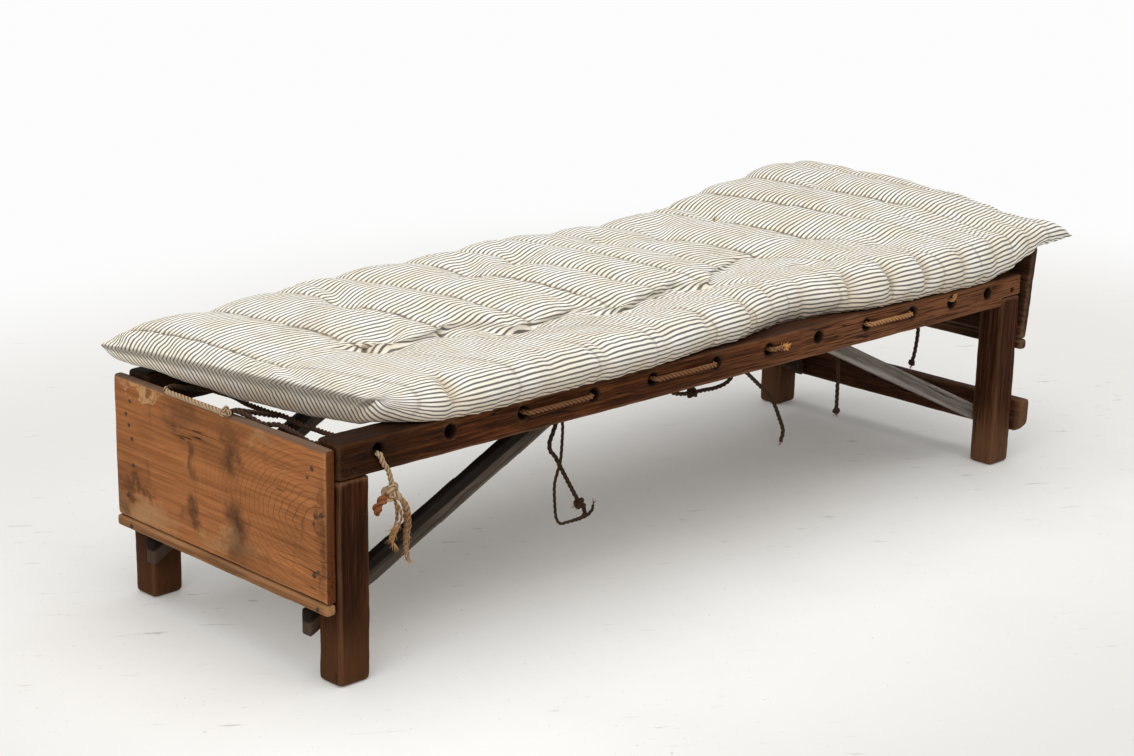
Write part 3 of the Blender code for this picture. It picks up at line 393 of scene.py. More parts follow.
@dataclass(frozen=True)
class WoodFinish:
    """Old timber: streaked along the grain, ringed, stained, and rubbed paler on its arrises.

    A zone is an axis, the place where it starts, the place where it is full, its colour and its share.
    A blot is its middle's Y and Z, its half width and half height, its share and its colour.
    """

    name: str
    grain: Grain
    dark: Colour
    light: Colour
    rubbed: Colour
    stain: Colour
    stain_share: float = 0.6
    rings: float = 34.0
    ring_colour: Optional[Colour] = None
    ring_edge: Band = (0.62, 0.98)
    ring_wander: float = 2.4
    ring_reach: Band = (8.0, 9.0)
    ring_stretch: float = 0.11
    heart: Point = (0.0, 0.4, 0.12)
    ring_strength: float = 0.5
    rubbed_share: float = 0.7
    gloss: float = 0.62
    faded: Optional[Colour] = None
    fade: Band = (0.0, 1.0)
    runs: float = 0.0
    fibre_strength: float = 0.55
    # A thin band along the top of a sloping timber, painted dark as shade on its upper face.
    painted_shade_band: Optional[Band] = None
    zones: tuple[tuple[int, float, float, Colour, float], ...] = ()
    blots: tuple[tuple[float, float, float, float, float, Colour], ...] = ()

    STREAKS: ClassVar[Pattern] = Pattern((2.2, 60.0, 60.0), 2.6, 6.0, 0.62, 0.25)
    FIBRES: ClassVar[Pattern] = Pattern((6.0, 420.0, 420.0), 1.6, 3.0, 0.6)
    THREADS: ClassVar[Pattern] = Pattern((3.2, 190.0, 190.0), 2.4, 2.0, 0.5, 0.0, (0.3, 0.5, 0.2))
    WANDER: ClassVar[Pattern] = Pattern((1.6, 7.0, 7.0), 1.7, 2.0)
    BLOTCH: ClassVar[Pattern] = Pattern((2.2, 6.0, 6.0), 1.5, 4.0, 0.6, 0.4, (0.37, 0.11, 0.53))
    CRACKS: ClassVar[Pattern] = Pattern((1.3, 38.0, 38.0), 1.9, 2.0, 0.5, 0.0, (0.2, 0.7, 0.1))
    WET: ClassVar[Pattern] = Pattern((1.0, 15.0, 3.2), 1.0, 5.0, 0.68, 0.5, (0.0, 0.4, 0.9))
    STREAK_BAND: ClassVar[Band] = (0.32, 0.70)
    FIBRE_BAND: ClassVar[Band] = (0.56, 0.80)
    FIBRE_SHARE: ClassVar[float] = 0.35
    THREAD_BAND: ClassVar[Band] = (0.46, 0.62)
    STAIN_BAND: ClassVar[Band] = (0.47, 0.66)
    CRACK_BAND: ClassVar[Band] = (0.004, 0.016)
    CRACKED_BAND: ClassVar[Band] = (0.50, 0.62)
    CRACK_COLOUR: ClassVar[Colour] = (0.006, 0.004, 0.003)
    CRACK_SHARE: ClassVar[float] = 0.88
    RUB_BAND: ClassVar[Band] = (0.25, 0.95)
    RUB_DRIFT: ClassVar[float] = 0.7
    FADE_DRIFT: ClassVar[float] = 0.8
    FADE_SHARE: ClassVar[float] = 0.6
    WET_BAND: ClassVar[Band] = (0.53, 0.68)
    ZONE_DRIFT: ClassVar[float] = 0.4
    BLOT_BAND: ClassVar[Band] = (-0.25, 0.95)
    BLOT_DRIFT: ClassVar[float] = 0.5
    BLOT_PUSH: ClassVar[Point] = (0.0, 0.13, 0.15)
    BLOT_NOISE: ClassVar[dict[str, float]] = {"Scale": 17.0, "Detail": 5.0, "Roughness": 0.68}
    BUMP: ClassVar[Band] = (0.55, 0.0012)

    def ring_line(self, shade: Shade, wander: Value) -> Value:
        """The dark lines of the year rings round the heart.

        Args:
            shade: The material.
            wander: Noise that bends the rings.

        Returns:
            One on a line and zero off it.
        """
        heart = shade.place(self.grain.value, (self.ring_stretch, 1.0, 1.0), self.heart)
        along, across, deep = shade.parts(heart)
        radius = (along * along + across * across + deep * deep) ** 0.5
        ring = abs((radius * self.rings + wander * self.ring_wander) % 1.0 - 0.5) * 2.0
        return shade.step(ring, *self.ring_edge) * (1.0 - shade.step(radius, *self.ring_reach))

    def blotted(self, shade: Shade, wood: Value, uneven: Value) -> Value:
        """Wood with its blots, which have ragged edges.

        Args:
            shade: The material.
            wood: The colour under the blots.
            uneven: Streaks from -0.5 to 0.5.

        Returns:
            The colour.
        """
        broad = shade.value("ShaderNodeTexNoise", {}, {"Vector": shade.place(), **self.BLOT_NOISE}, "Color")
        back = shade.place(shift=tuple(-push / 2 for push in self.BLOT_PUSH))
        pushed = shade.value("ShaderNodeVectorMath", {"operation": "MULTIPLY_ADD"},
                             {0: broad, 1: self.BLOT_PUSH, 2: back})
        _, y, z = shade.parts(pushed)
        for middle_y, middle_z, wide, high, share, colour in self.blots:
            aside, above = (y - middle_y) / wide, (z - middle_z) / high
            inside = 1.0 - (aside * aside + above * above) ** 0.5 + uneven * self.BLOT_DRIFT
            wood = shade.mix(shade.step(inside, *self.BLOT_BAND) * share, wood, colour)
        return wood

    def material(self) -> Material:
        """Build the finish.

        Returns:
            The material.
        """
        shade, turn = Shade(self.name), self.grain.value
        streaks, fibres, threads, wander, blotch, cracks = (
            pattern.draw(shade, turn)
            for pattern in (self.STREAKS, self.FIBRES, self.THREADS, self.WANDER, self.BLOTCH, self.CRACKS))
        places = shade.parts(shade.place())
        uneven = streaks - 0.5
        ring_line = self.ring_line(shade, wander)
        stained = shade.step(blotch, *self.STAIN_BAND)
        crack = 1.0 - shade.step(abs(cracks - 0.5), *self.CRACK_BAND)
        crack = crack * shade.step(wander, *self.CRACKED_BAND)
        wood = shade.mix(shade.step(streaks, *self.STREAK_BAND), self.dark, self.light)
        if self.faded:
            paled = shade.step(places[0] + (blotch - 0.5) * self.FADE_DRIFT, *self.fade)
            wood = shade.mix(paled * self.FADE_SHARE, wood, self.faded)
        layers = [(ring_line * self.ring_strength, self.ring_colour or self.dark),
                  (stained * self.stain_share, self.stain),
                  (shade.step(threads, *self.THREAD_BAND) * self.fibre_strength, self.dark),
                  (shade.step(fibres, *self.FIBRE_BAND) * self.FIBRE_SHARE, self.dark)]
        if self.runs:
            wet = self.WET.draw(shade, Grain.LENGTHWISE.value)
            layers.append((shade.step(wet, *self.WET_BAND) * self.runs, self.stain))
        for share, colour in layers:
            wood = shade.mix(share, wood, colour)
        if self.blots:
            wood = self.blotted(shade, wood, uneven)
        rubbing = shade.step(shade.attribute("worn") + uneven * self.RUB_DRIFT, *self.RUB_BAND)
        wood = shade.mix(rubbing * self.rubbed_share, wood, self.rubbed)
        for axis, low, high, colour, share in self.zones:
            inside = shade.step(places[axis], low, high)
            wood = shade.mix(inside * (share + uneven * self.ZONE_DRIFT), wood, colour)
        grime = shade.attribute("grime")
        # On the foot brace the dark mark also takes a band of painted shade along its top.
        if self.painted_shade_band:
            grime = grime.most(shade.step(shade.parts(shade.place(turn))[2], *self.painted_shade_band))
        wood = shade.mix(crack.most(grime) * self.CRACK_SHARE, wood, self.CRACK_COLOUR)
        height = streaks * 0.5 + fibres * 0.35 + threads * -0.5 - crack * 1.2 - ring_line * 0.15
        return shade.dress(Base_Color=wood, Roughness=self.gloss + uneven * 0.3 + stained * 0.06,
                           Normal=shade.bump(height, *self.BUMP), Specular_IOR_Level=0.04)


@dataclass(frozen=True)
class RopeFinish:
    """Twisted fibre: pale on the crown of each strand, dark in the grooves as painted shade, streaked along
    the strand.
    """

    name: str
    crown: Colour
    groove: Colour
    dust: Colour

    STRETCH: ClassVar[Point] = (26.0, 210.0, 1.0)
    CROWN_BAND: ClassVar[Band] = (0.25, 0.85)
    FIBRE_BAND: ClassVar[Band] = (0.52, 0.75)
    FIBRE_SHARE: ClassVar[float] = 0.55
    DUST_BAND: ClassVar[Band] = (0.45, 0.72)
    DUST_SHARE: ClassVar[float] = 0.5
    BUMP: ClassVar[Band] = (0.7, 0.0007)

    def material(self) -> Material:
        """Build the finish.

        Returns:
            The material.
        """
        shade = Shade(self.name)
        route = shade.value("ShaderNodeUVMap", {"uv_map": "route"})
        outward = abs(shade.parts(route)[0] - 0.5) * 2.0
        fibre = shade.noise(shade.stretched(route, self.STRETCH), 1.0, 4.0, 0.65, 0.3)
        patch = shade.noise(shade.place(), 45.0, 3.0, 0.6)
        # The side of each strand that faces the rope's core takes the groove colour: painted shade.
        colour = shade.mix(shade.step(outward, *self.CROWN_BAND), self.groove, self.crown)
        colour = shade.mix(shade.step(fibre, *self.FIBRE_BAND) * self.FIBRE_SHARE, colour, self.groove)
        colour = shade.mix(shade.step(patch, *self.DUST_BAND) * self.DUST_SHARE, colour, self.dust)
        return shade.dress(Base_Color=colour, Roughness=0.86 + (fibre - 0.5) * 0.2,
                           Normal=shade.bump(fibre, *self.BUMP), Specular_IOR_Level=0.2)


@dataclass(frozen=True)
class IronFinish:
    """Rusted iron of old nails."""

    name: str = "rusted_iron"
    iron: Colour = (0.030, 0.024, 0.022)
    rust: Colour = (0.110, 0.042, 0.018)

    def material(self) -> Material:
        """Build the finish.

        Returns:
            The material.
        """
        shade = Shade(self.name)
        spots = shade.noise(shade.place(), 420.0, 4.0, 0.6)
        rusty = shade.step(spots, 0.42, 0.62)
        return shade.dress(Base_Color=shade.mix(rusty, self.iron, self.rust), Roughness=0.55 + rusty * 0.3,
                           Metallic=0.75 - rusty * 0.6, Normal=shade.bump(spots, 0.6, 0.0008))


@dataclass(frozen=True)
class TickingFinish:
    """Cream cotton twill with charcoal stripes that run along the cloth, one for each unit of V."""

    name: str = "ticking"
    cream: Colour = (0.860, 0.792, 0.650)
    bleached: Colour = (0.905, 0.875, 0.800)
    charcoal: Colour = (0.070, 0.063, 0.064)
    # Colour of painted shade, low on the mattress and in its pleats.
    warm_shade: Colour = (0.400, 0.280, 0.160)
    beige: Colour = (0.600, 0.480, 0.320)
    # Colour of the stitches and of the painted shade in the row creases.
    stitch_and_shade_colour: Colour = (0.115, 0.092, 0.062)
    fade_band: Band = (0.35, 0.65)
    stain_band: Band = (0.58, 0.74)
    stain_share: float = 0.45
    low_shade_heights: Band = (0.474, 0.424)
    low_shade_share: float = 0.68
    seam: Band = (0.4984, 0.4996)
    seam_share: float = 0.75
    stripe: float = 0.205
    stripe_edge: Band = (0.72, 1.12)
    hairline: float = 0.028
    hairline_edge: Band = (0.4, 1.3)
    hairline_place: float = 0.285
    hairline_share: float = 0.12
    dye: float = 0.92
    sway: float = 0.10
    row_sway: float = 0.03
    gather_sway: float = 0.9
    gather_reach: float = 0.075
    gather_swell: float = 0.075
    fold_share: float = 0.55
    row_shade: Band = (0.10, 0.28)
    dash_band: Band = (0.36, 0.52)
    crease_line_width: Band = (0.008, 0.030)
    stitch_and_shade_share: float = 0.85
    warp_scale: Point = (900.0, 11.0, 1.0)
    thread_scale: Point = (60.0, 14.0, 1.0)
    dash_scale: Point = (3.0, 0.9, 1.0)
    bump: Band = (0.35, 0.0006)

    def material(self) -> Material:
        """Build the finish.

        Returns:
            The material.
        """
        shade = Shade(self.name)
        cloth = shade.value("ShaderNodeUVMap", {"uv_map": "cloth"})
        along, across, _ = shade.parts(cloth)
        spot = shade.place()
        waver = shade.noise(spot, 70.0, 2.0, 0.5) - 0.5
        row, quilt, fold = (shade.attribute(label) for label in ("row", "quilt", "fold"))
        away = abs((row + 0.5 + waver * self.row_sway) % 1.0 - 0.5)
        gathered = (1.0 - shade.step(away, 0.0, self.gather_reach)) * quilt
        phase = abs((across + waver * (self.sway + gathered * self.gather_sway)) % 1.0 - 0.5)
        phase = phase - gathered * self.gather_swell
        stripe = 1.0 - shade.step(phase, *(self.stripe * edge for edge in self.stripe_edge))
        hair = 1.0 - shade.step(abs(phase - self.hairline_place),
                                *(self.hairline * edge for edge in self.hairline_edge))
        warp = shade.value("ShaderNodeTexWave", {"wave_type": "BANDS", "bands_direction": "DIAGONAL"},
                           {"Vector": shade.stretched(cloth, self.warp_scale), "Scale": 1.0,
                            "Distortion": 0.6, "Detail": 1.0})
        fade = shade.noise(spot, 16.0, 3.0, 0.6)
        thread = shade.noise(shade.stretched(cloth, self.thread_scale), 1.0, 3.0, 0.6)
        stains = shade.noise(spot, 5.2, 4.0, 0.62, 0.6)
        ground = shade.mix(shade.step(fade, *self.fade_band), self.cream, self.bleached)
        ground = shade.mix(shade.step(stains, *self.stain_band) * self.stain_share, ground, self.beige)
        # Darker and warmer towards the bottom: painted shade and warm light reflected from the foot panel.
        low = shade.step(shade.parts(spot)[2], *self.low_shade_heights)
        ground = shade.mix(low * self.low_shade_share, ground, self.warm_shade)
        dyed = (stripe * (self.dye + (thread - 0.5) * 0.4)).most(hair * self.hairline_share)
        colour = shade.mix(dyed, ground, self.charcoal)
        # A dashed dark line along each tuft row paints the shade of the row crease as stitches; the end seams
        # add their stitches to it.
        dash = shade.noise(shade.stretched(cloth, self.dash_scale), 1.0, 2.0, 0.5)
        stitch_and_crease_shade = (1.0 - shade.step(away, *self.crease_line_width)) * quilt * shade.step(dash, *self.dash_band)
        row_width, row_share = self.row_shade
        colour = shade.mix((1.0 - shade.step(away, 0.0, row_width)) * quilt * row_share, colour, self.beige)
        stitch_and_crease_shade = stitch_and_crease_shade.most(shade.step(abs(along - 0.5), *self.seam) * self.seam_share)
        # The pleats are painted darker and warmer: painted shade in the folds.
        colour = shade.mix(fold * self.fold_share, colour, self.warm_shade)
        colour = shade.mix(stitch_and_crease_shade * self.stitch_and_shade_share, colour, self.stitch_and_shade_colour)
        height = warp * 0.5 + thread * 0.5 - stitch_and_crease_shade * 3.0
        return shade.dress(Base_Color=colour, Roughness=0.88, Normal=shade.bump(height, *self.bump),
                           Specular_IOR_Level=0.15, Sheen_Weight=0.08, Sheen_Roughness=0.6)


@dataclass(frozen=True)
class FloorFinish:
    """Pale worn screed, which fades to white away from the bed, with a faint glow for the camera under it:
    painted light in the bed's shadow.
    """

    name: str = "pale_floor"
    pale: Colour = (0.870, 0.860, 0.832)
    scuffed: Colour = (0.760, 0.745, 0.712)
    mark: Colour = (0.420, 0.395, 0.360)
    lit: Colour = (0.845, 0.830, 0.795)
    white: Colour = (1.0, 1.0, 1.0)
    bed: Point = (0.95, 0.42, 0.22)
    lit_from: float = 0.10
    lit_least: float = 0.13
    lit_at: float = 0.95
    white_at: float = 2.4
    glow_strength: float = 0.98
    scuff_turn: Point = (0.0, 0.0, 0.6)
    scuff_scale: Point = (9.0, 46.0, 1.0)
    scuff_share: float = 0.35
    mark_share: float = 0.6
    lit_mark_share: float = 0.35

    def marks(self, shade: Shade, cloud: Value) -> Value:
        """Scuffs, grit and specks.

        Args:
            shade: The material.
            cloud: The pattern that gathers the scuffs.

        Returns:
            One on a mark and zero off it.
        """
        scuff = shade.noise(shade.place(self.scuff_turn, self.scuff_scale), 1.0, 3.0, 0.6)
        scuffs = shade.step(scuff, 0.64, 0.72) * shade.step(cloud, 0.45, 0.6)
        grit = shade.step(shade.noise(shade.place(), 55.0, 3.0, 0.7), 0.67, 0.76)
        specks = shade.step(shade.noise(shade.place(), 150.0, 2.0, 0.6), 0.70, 0.76)
        return scuffs.most(grit).most(specks)

    def material(self) -> Material:
        """Build the finish.

        Returns:
            The material.
        """
        shade = Shade(self.name)
        cloud = shade.noise(shade.place(), 2.1, 5.0, 0.6, 0.4)
        mark = self.marks(shade, cloud)
        colour = shade.mix(shade.step(cloud, 0.35, 0.7) * self.scuff_share, self.pale, self.scuffed)
        colour = shade.mix(mark * self.mark_share, colour, self.mark)
        shade.dress(Base_Color=colour, Roughness=0.7, Specular_IOR_Level=0.2)
        x, y, _ = shade.parts(shade.place())
        half_length, near_side, far_side = self.bed
        past_end = (abs(x) - half_length).most(0.0)
        past_side = (y - far_side).most(y * -1.0 - near_side).most(0.0)
        away = (past_end * past_end + past_side * past_side) ** 0.5
        glow = shade.mix(mark * self.lit_mark_share, self.lit, self.mark)
        glow = shade.mix(shade.step(away, self.lit_at, self.white_at), glow, self.white)
        # Camera rays see a glow: white away from the bed, and at least the lit_least share near and under it,
        # painted light that lightens the bed's shadow on the floor.
        seen = shade.value("ShaderNodeLightPath", {}, {}, "Is Camera Ray")
        outer = shade.step(away, self.lit_from, self.lit_at)
        share = seen * (self.lit_least + (1.0 - self.lit_least) * outer)
        shining = shade.value("ShaderNodeEmission", {}, {"Color": glow, "Strength": self.glow_strength})
        both = shade.value("ShaderNodeMixShader", {}, {0: share, 1: shade.shader.outputs[0], 2: shining})
        shade.feed(shade.output, {"Surface": both})
        return shade.material


def line_lengths(line: Array) -> Array:
    """Distance along a line of each of its points."""
    return np.concatenate(([0.0], np.cumsum(np.linalg.norm(np.diff(line, axis=0), axis=1))))


def even_line(points: Array, step: float) -> Array:
    """Points at an even step along a chain.

    Args:
        points: The chain's points.
        step: Wanted distance between two points.

    Returns:
        The new points.
    """
    lengths = line_lengths(points)
    count = max(3, round(lengths[-1] / step))
    want = np.linspace(0.0, lengths[-1], count + 1)
    return np.column_stack([np.interp(want, lengths, points[:, axis]) for axis in range(3)])


def smooth_line(route: Iterable[Point], step: float, spans: int = 24) -> Array:
    """Points at an even step along a smooth curve through a route.

    Args:
        route: The route's own points.
        step: Wanted distance between two points.
        spans: Fine points between two points of the route.

    Returns:
        The points.
    """
    own = np.array([tuple(point) for point in route], float)
    ends = np.vstack((2 * own[0] - own[1], own, 2 * own[-1] - own[-2]))
    t = np.linspace(0.0, 1.0, spans, endpoint=False)[:, None]
    fine = [0.5 * (2 * b + (c - a) * t + (2 * a - 5 * b + 4 * c - d) * t ** 2
                   + (3 * b - a - 3 * c + d) * t ** 3)
            for a, b, c, d in zip(ends, ends[1:], ends[2:], ends[3:])]
    return even_line(np.vstack(fine + [own[-1:]]), step)


def eased_line(points: Iterable[Point], step: float, rounds: int) -> Array:
    """A chain at an even step, with its corners eased by averaging.

    Args:
        points: The chain's corners.
        step: Distance between two points.
        rounds: How often each point is averaged with its neighbours.

    Returns:
        The points.
    """
    line = even_line(np.array([tuple(point) for point in points], float), step)
    for _ in range(rounds):
        line[1:-1] = 0.25 * line[:-2] + 0.5 * line[1:-1] + 0.25 * line[2:]
    return line


def unit(vectors: Array) -> Array:
    """Vectors of length one."""
    return vectors / np.maximum(np.linalg.norm(vectors, axis=-1, keepdims=True), 1e-12)


def line_normals(line: Array) -> tuple[Array, Array]:
    """Two cross directions carried along a line without twisting.

    Args:
        line: The line's points.

    Returns:
        The first and the second cross direction at each point.
    """
    tangents = unit(np.gradient(line, axis=0))
    seed = np.array((0.0, 0.0, 1.0)) if abs(tangents[0, 2]) < 0.9 else np.array((1.0, 0.0, 0.0))
    normals = [unit(np.cross(tangents[0], seed))]
    for tangent in tangents[1:]:
        carried = normals[-1] - tangent * np.dot(normals[-1], tangent)
        normals.append(unit(carried))
    first = np.array(normals)
    return first, np.cross(tangents, first)


def ease(t: Array) -> Array:
    """A smooth step from zero at zero to one at one."""
    held = np.clip(t, 0.0, 1.0)
    return held * held * (3.0 - 2.0 * held)


def hump(distance: Array, spread: float) -> Array:
    """A smooth rise of height one at distance zero."""
    return np.exp(-(distance / spread) ** 2)


def glide(x: Array, table: Sequence[tuple[float, float]]) -> Array:
    """Values that glide from one place of a table to the next.

    Args:
        x: Where the values are wanted.
        table: Place and value of each knot, in order.

    Returns:
        The values.
    """
    places, values = np.array(table, float).T
    left = np.clip(np.searchsorted(places, x) - 1, 0, len(places) - 2)
    share = ease((x - places[left]) / (places[left + 1] - places[left]))
    return values[left] + (values[left + 1] - values[left]) * share


class SmoothNoise:
    """Seeded noise on a plane, smooth between the knots of a lattice."""

    def __init__(self, seed: int, size: int = 97) -> None:
        """Draw the lattice."""
        self.size = size
        self.lattice = np.random.default_rng(seed).uniform(-1.0, 1.0, (size, size))

    def knot(self, i: Array, j: Array) -> Array:
        """The lattice's own values, which repeat."""
        return self.lattice[i % self.size, j % self.size]

    def at(self, a: Array, b: Array) -> Array:
        """Noise from -1 to 1 at places that count lattice cells.

        Args:
            a: First coordinates.
            b: Second coordinates.

        Returns:
            The noise.
        """
        i, j = np.floor(a).astype(int), np.floor(b).astype(int)
        s, t = ease(a - i), ease(b - j)
        low = self.knot(i, j) * (1 - s) + self.knot(i + 1, j) * s
        high = self.knot(i, j + 1) * (1 - s) + self.knot(i + 1, j + 1) * s
        return low * (1 - t) + high * t


def trefoil_line(centre: Array, way: Sequence[float], size: Point, rope: float) -> Array:
    """The middle line of an overhand knot, which closes on itself.

    Args:
        centre: The knot's middle.
        way: The way through the knot.
        size: Its width, depth and thickness.
        rope: The rope's diameter.

    Returns:
        The line.
    """
    turn = np.linspace(0.0, 2 * math.pi, KNOT_POINTS)
    axis = unit(np.array(way, float))
    out = unit(np.cross(axis, KNOT_SIDE))
    wide, deep, thick = ((length - rope) / 2 for length in size)
    across = (np.sin(turn) + 2 * np.sin(2 * turn)) / 3 * wide
    along = (np.cos(turn) - 2 * np.cos(2 * turn)) / 3 * deep
    through = -np.sin(3 * turn) * thick
    return centre + np.outer(across, out) + np.outer(along, np.cross(axis, out)) + np.outer(through, axis)


def coil_line(centre: Array, axis: Array, radius: float, pitch: float, turns: float) -> Array:
    """The middle line of a cord that is wound round a rope.

    Args:
        centre: Middle of the coil, on the rope's own middle line.
        axis: The rope's direction.
        radius: Radius of the line.
        pitch: Distance between turns.
        turns: Number of turns.

    Returns:
        The line.
    """
    turn = np.linspace(0.0, 2 * math.pi * turns, round(COIL_POINTS * turns) + 1)
    out = unit(np.cross(axis, (0.0, 0.0, 1.0)))
    ring = np.outer(np.cos(turn), out) + np.outer(np.sin(turn), np.cross(axis, out))
    return centre + radius * ring + np.outer((turn / (2 * math.pi) - turns / 2) * pitch, axis)


def wavy_line(line: Array, sway: float, wave: float, seed: int) -> Array:
    """A line that wanders to the sides, except at its ends.

    Args:
        line: The smooth line.
        sway: How far it wanders.
        wave: Distance between knots of the noise.
        seed: Seed of the noise.

    Returns:
        The new line.
    """
    first, second = line_normals(line)
    lengths = line_lengths(line)
    noise = SmoothNoise(seed)
    held = sway * ease(lengths / wave) * ease((lengths[-1] - lengths) / wave)
    aside, upward = (noise.at(lengths / wave, np.full(len(line), lane)) * held for lane in WAVE_LANES)
    return line + first * aside[:, None] + second * upward[:, None]


class MeshBasket:
    """Gathers tubes into one mesh with a map along their routes."""

    def __init__(self) -> None:
        """Start empty."""
        self.points: list[Array] = []
        self.faces: list[tuple[int, ...]] = []
        self.map: list[tuple[float, float]] = []
        self.count = 0

    def tube(self, centres: Array, outward: Array, radii: Array, sides: int) -> None:
        """Add a closed tube.

        Args:
            centres: Points of the middle line.
            outward: Direction of the first corner at each point.
            radii: Radius at each point.
            sides: Corners of the section.
        """
        tangents = unit(np.gradient(centres, axis=0))
        first = unit(outward - tangents * np.sum(outward * tangents, axis=1, keepdims=True))
        second = np.cross(tangents, first)
        turn = 2 * math.pi * np.arange(sides)[None, :, None] / sides
        ring = np.cos(turn) * first[:, None] + np.sin(turn) * second[:, None]
        rings = centres[:, None] + radii[:, None, None] * ring
        lengths = line_lengths(centres)
        start = self.count
        self.points.append(rings.reshape(-1, 3))
        self.count += rings.shape[0] * sides
        for row, (here, there) in enumerate(zip(lengths, lengths[1:])):
            low, high = start + row * sides, start + (row + 1) * sides
            for corner in range(sides):
                after = (corner + 1) % sides
                self.faces.append((low + corner, low + after, high + after, high + corner))
                left, right = corner / sides, (corner + 1) / sides
                self.map += [(left, here), (right, here), (right, there), (left, there)]
        last = start + (len(centres) - 1) * sides
        self.faces.append(tuple(start + corner for corner in reversed(range(sides))))
        self.faces.append(tuple(last + corner for corner in range(sides)))
        self.map += [(0.5, 0.0)] * sides + [(0.5, lengths[-1])] * sides

    def piece(self, name: str, material: Material) -> Object:
        """Make the object.

        Args:
            name: The piece's name.
            material: Its finish.

        Returns:
            The object, linked to the scene.
        """
        mesh = bpy.data.meshes.new(name)
        mesh.from_pydata(np.vstack(self.points).tolist(), [], self.faces)
        layer = mesh.uv_layers.new(name="route")
        layer.data.foreach_set("uv", np.array(self.map, np.float32).ravel())
        mesh.shade_smooth()
        mesh.materials.append(material)
        return link_object(name, mesh)


def settle_piece(piece: Object, body: str, slot: str, *nodes: str) -> Object:
    """Tie a finished piece to the frame.

    Args:
        piece: The piece.
        body: The body that it moves with.
        slot: The record's material slot, which is not used.
        nodes: The nodes that it stands for.

    Returns:
        The piece.
    """
    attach(piece, body)
    if nodes:
        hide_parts(*nodes)
    LOG.info("%s rides on %s, %d faces", piece.name, body, len(piece.data.polygons))
    return piece


@dataclass(frozen=True)
class RopeLay:
    """How a rope is laid: its strands, the length of a full turn, and its facets."""

    diameter: float
    strands: int = 3
    pitch: float = 0.030
    sides: int = 8
    press: float = 1.06

    @property
    def strand_radius(self) -> float:
        """Radius of one strand, so that the strands just press together."""
        spread = 1.0 / math.sin(math.pi / self.strands)
        return self.diameter / 2 / (1.0 + spread) * self.press

    def add(self, basket: MeshBasket, line: Array, taper: Optional[Array] = None) -> None:
        """Lay the rope along a line.

        Args:
            basket: Where its strands go.
            line: Points of its middle line.
            taper: Its thickness at each point, as a share.
        """
        share = np.ones(len(line)) if taper is None else taper
        first, second = line_normals(line)
        lengths = line_lengths(line)
        offset = self.diameter / 2 - self.strand_radius
        for strand in range(self.strands):
            angle = 2 * math.pi * (lengths / self.pitch + strand / self.strands)
            outward = np.cos(angle)[:, None] * first + np.sin(angle)[:, None] * second
            centres = line + outward * (offset * share)[:, None]
            basket.tube(centres, outward, self.strand_radius * share, self.sides)

    def piece(self, name: str, finish: Material, slot: str, routes: Iterable[tuple[Array, ...]],
              *nodes: str) -> Object:
        """Lay one or more lengths of the rope as a piece of the frame.

        Args:
            name: The piece's name.
            finish: Its finish.
            slot: Its material slot.
            routes: The line of each length, and its taper if it has one.
            nodes: The nodes that it stands for.

        Returns:
            The piece.
        """
        basket = MeshBasket()
        for route in routes:
            self.add(basket, *route)
        return settle_piece(basket.piece(name, finish), "frame", slot, *nodes)


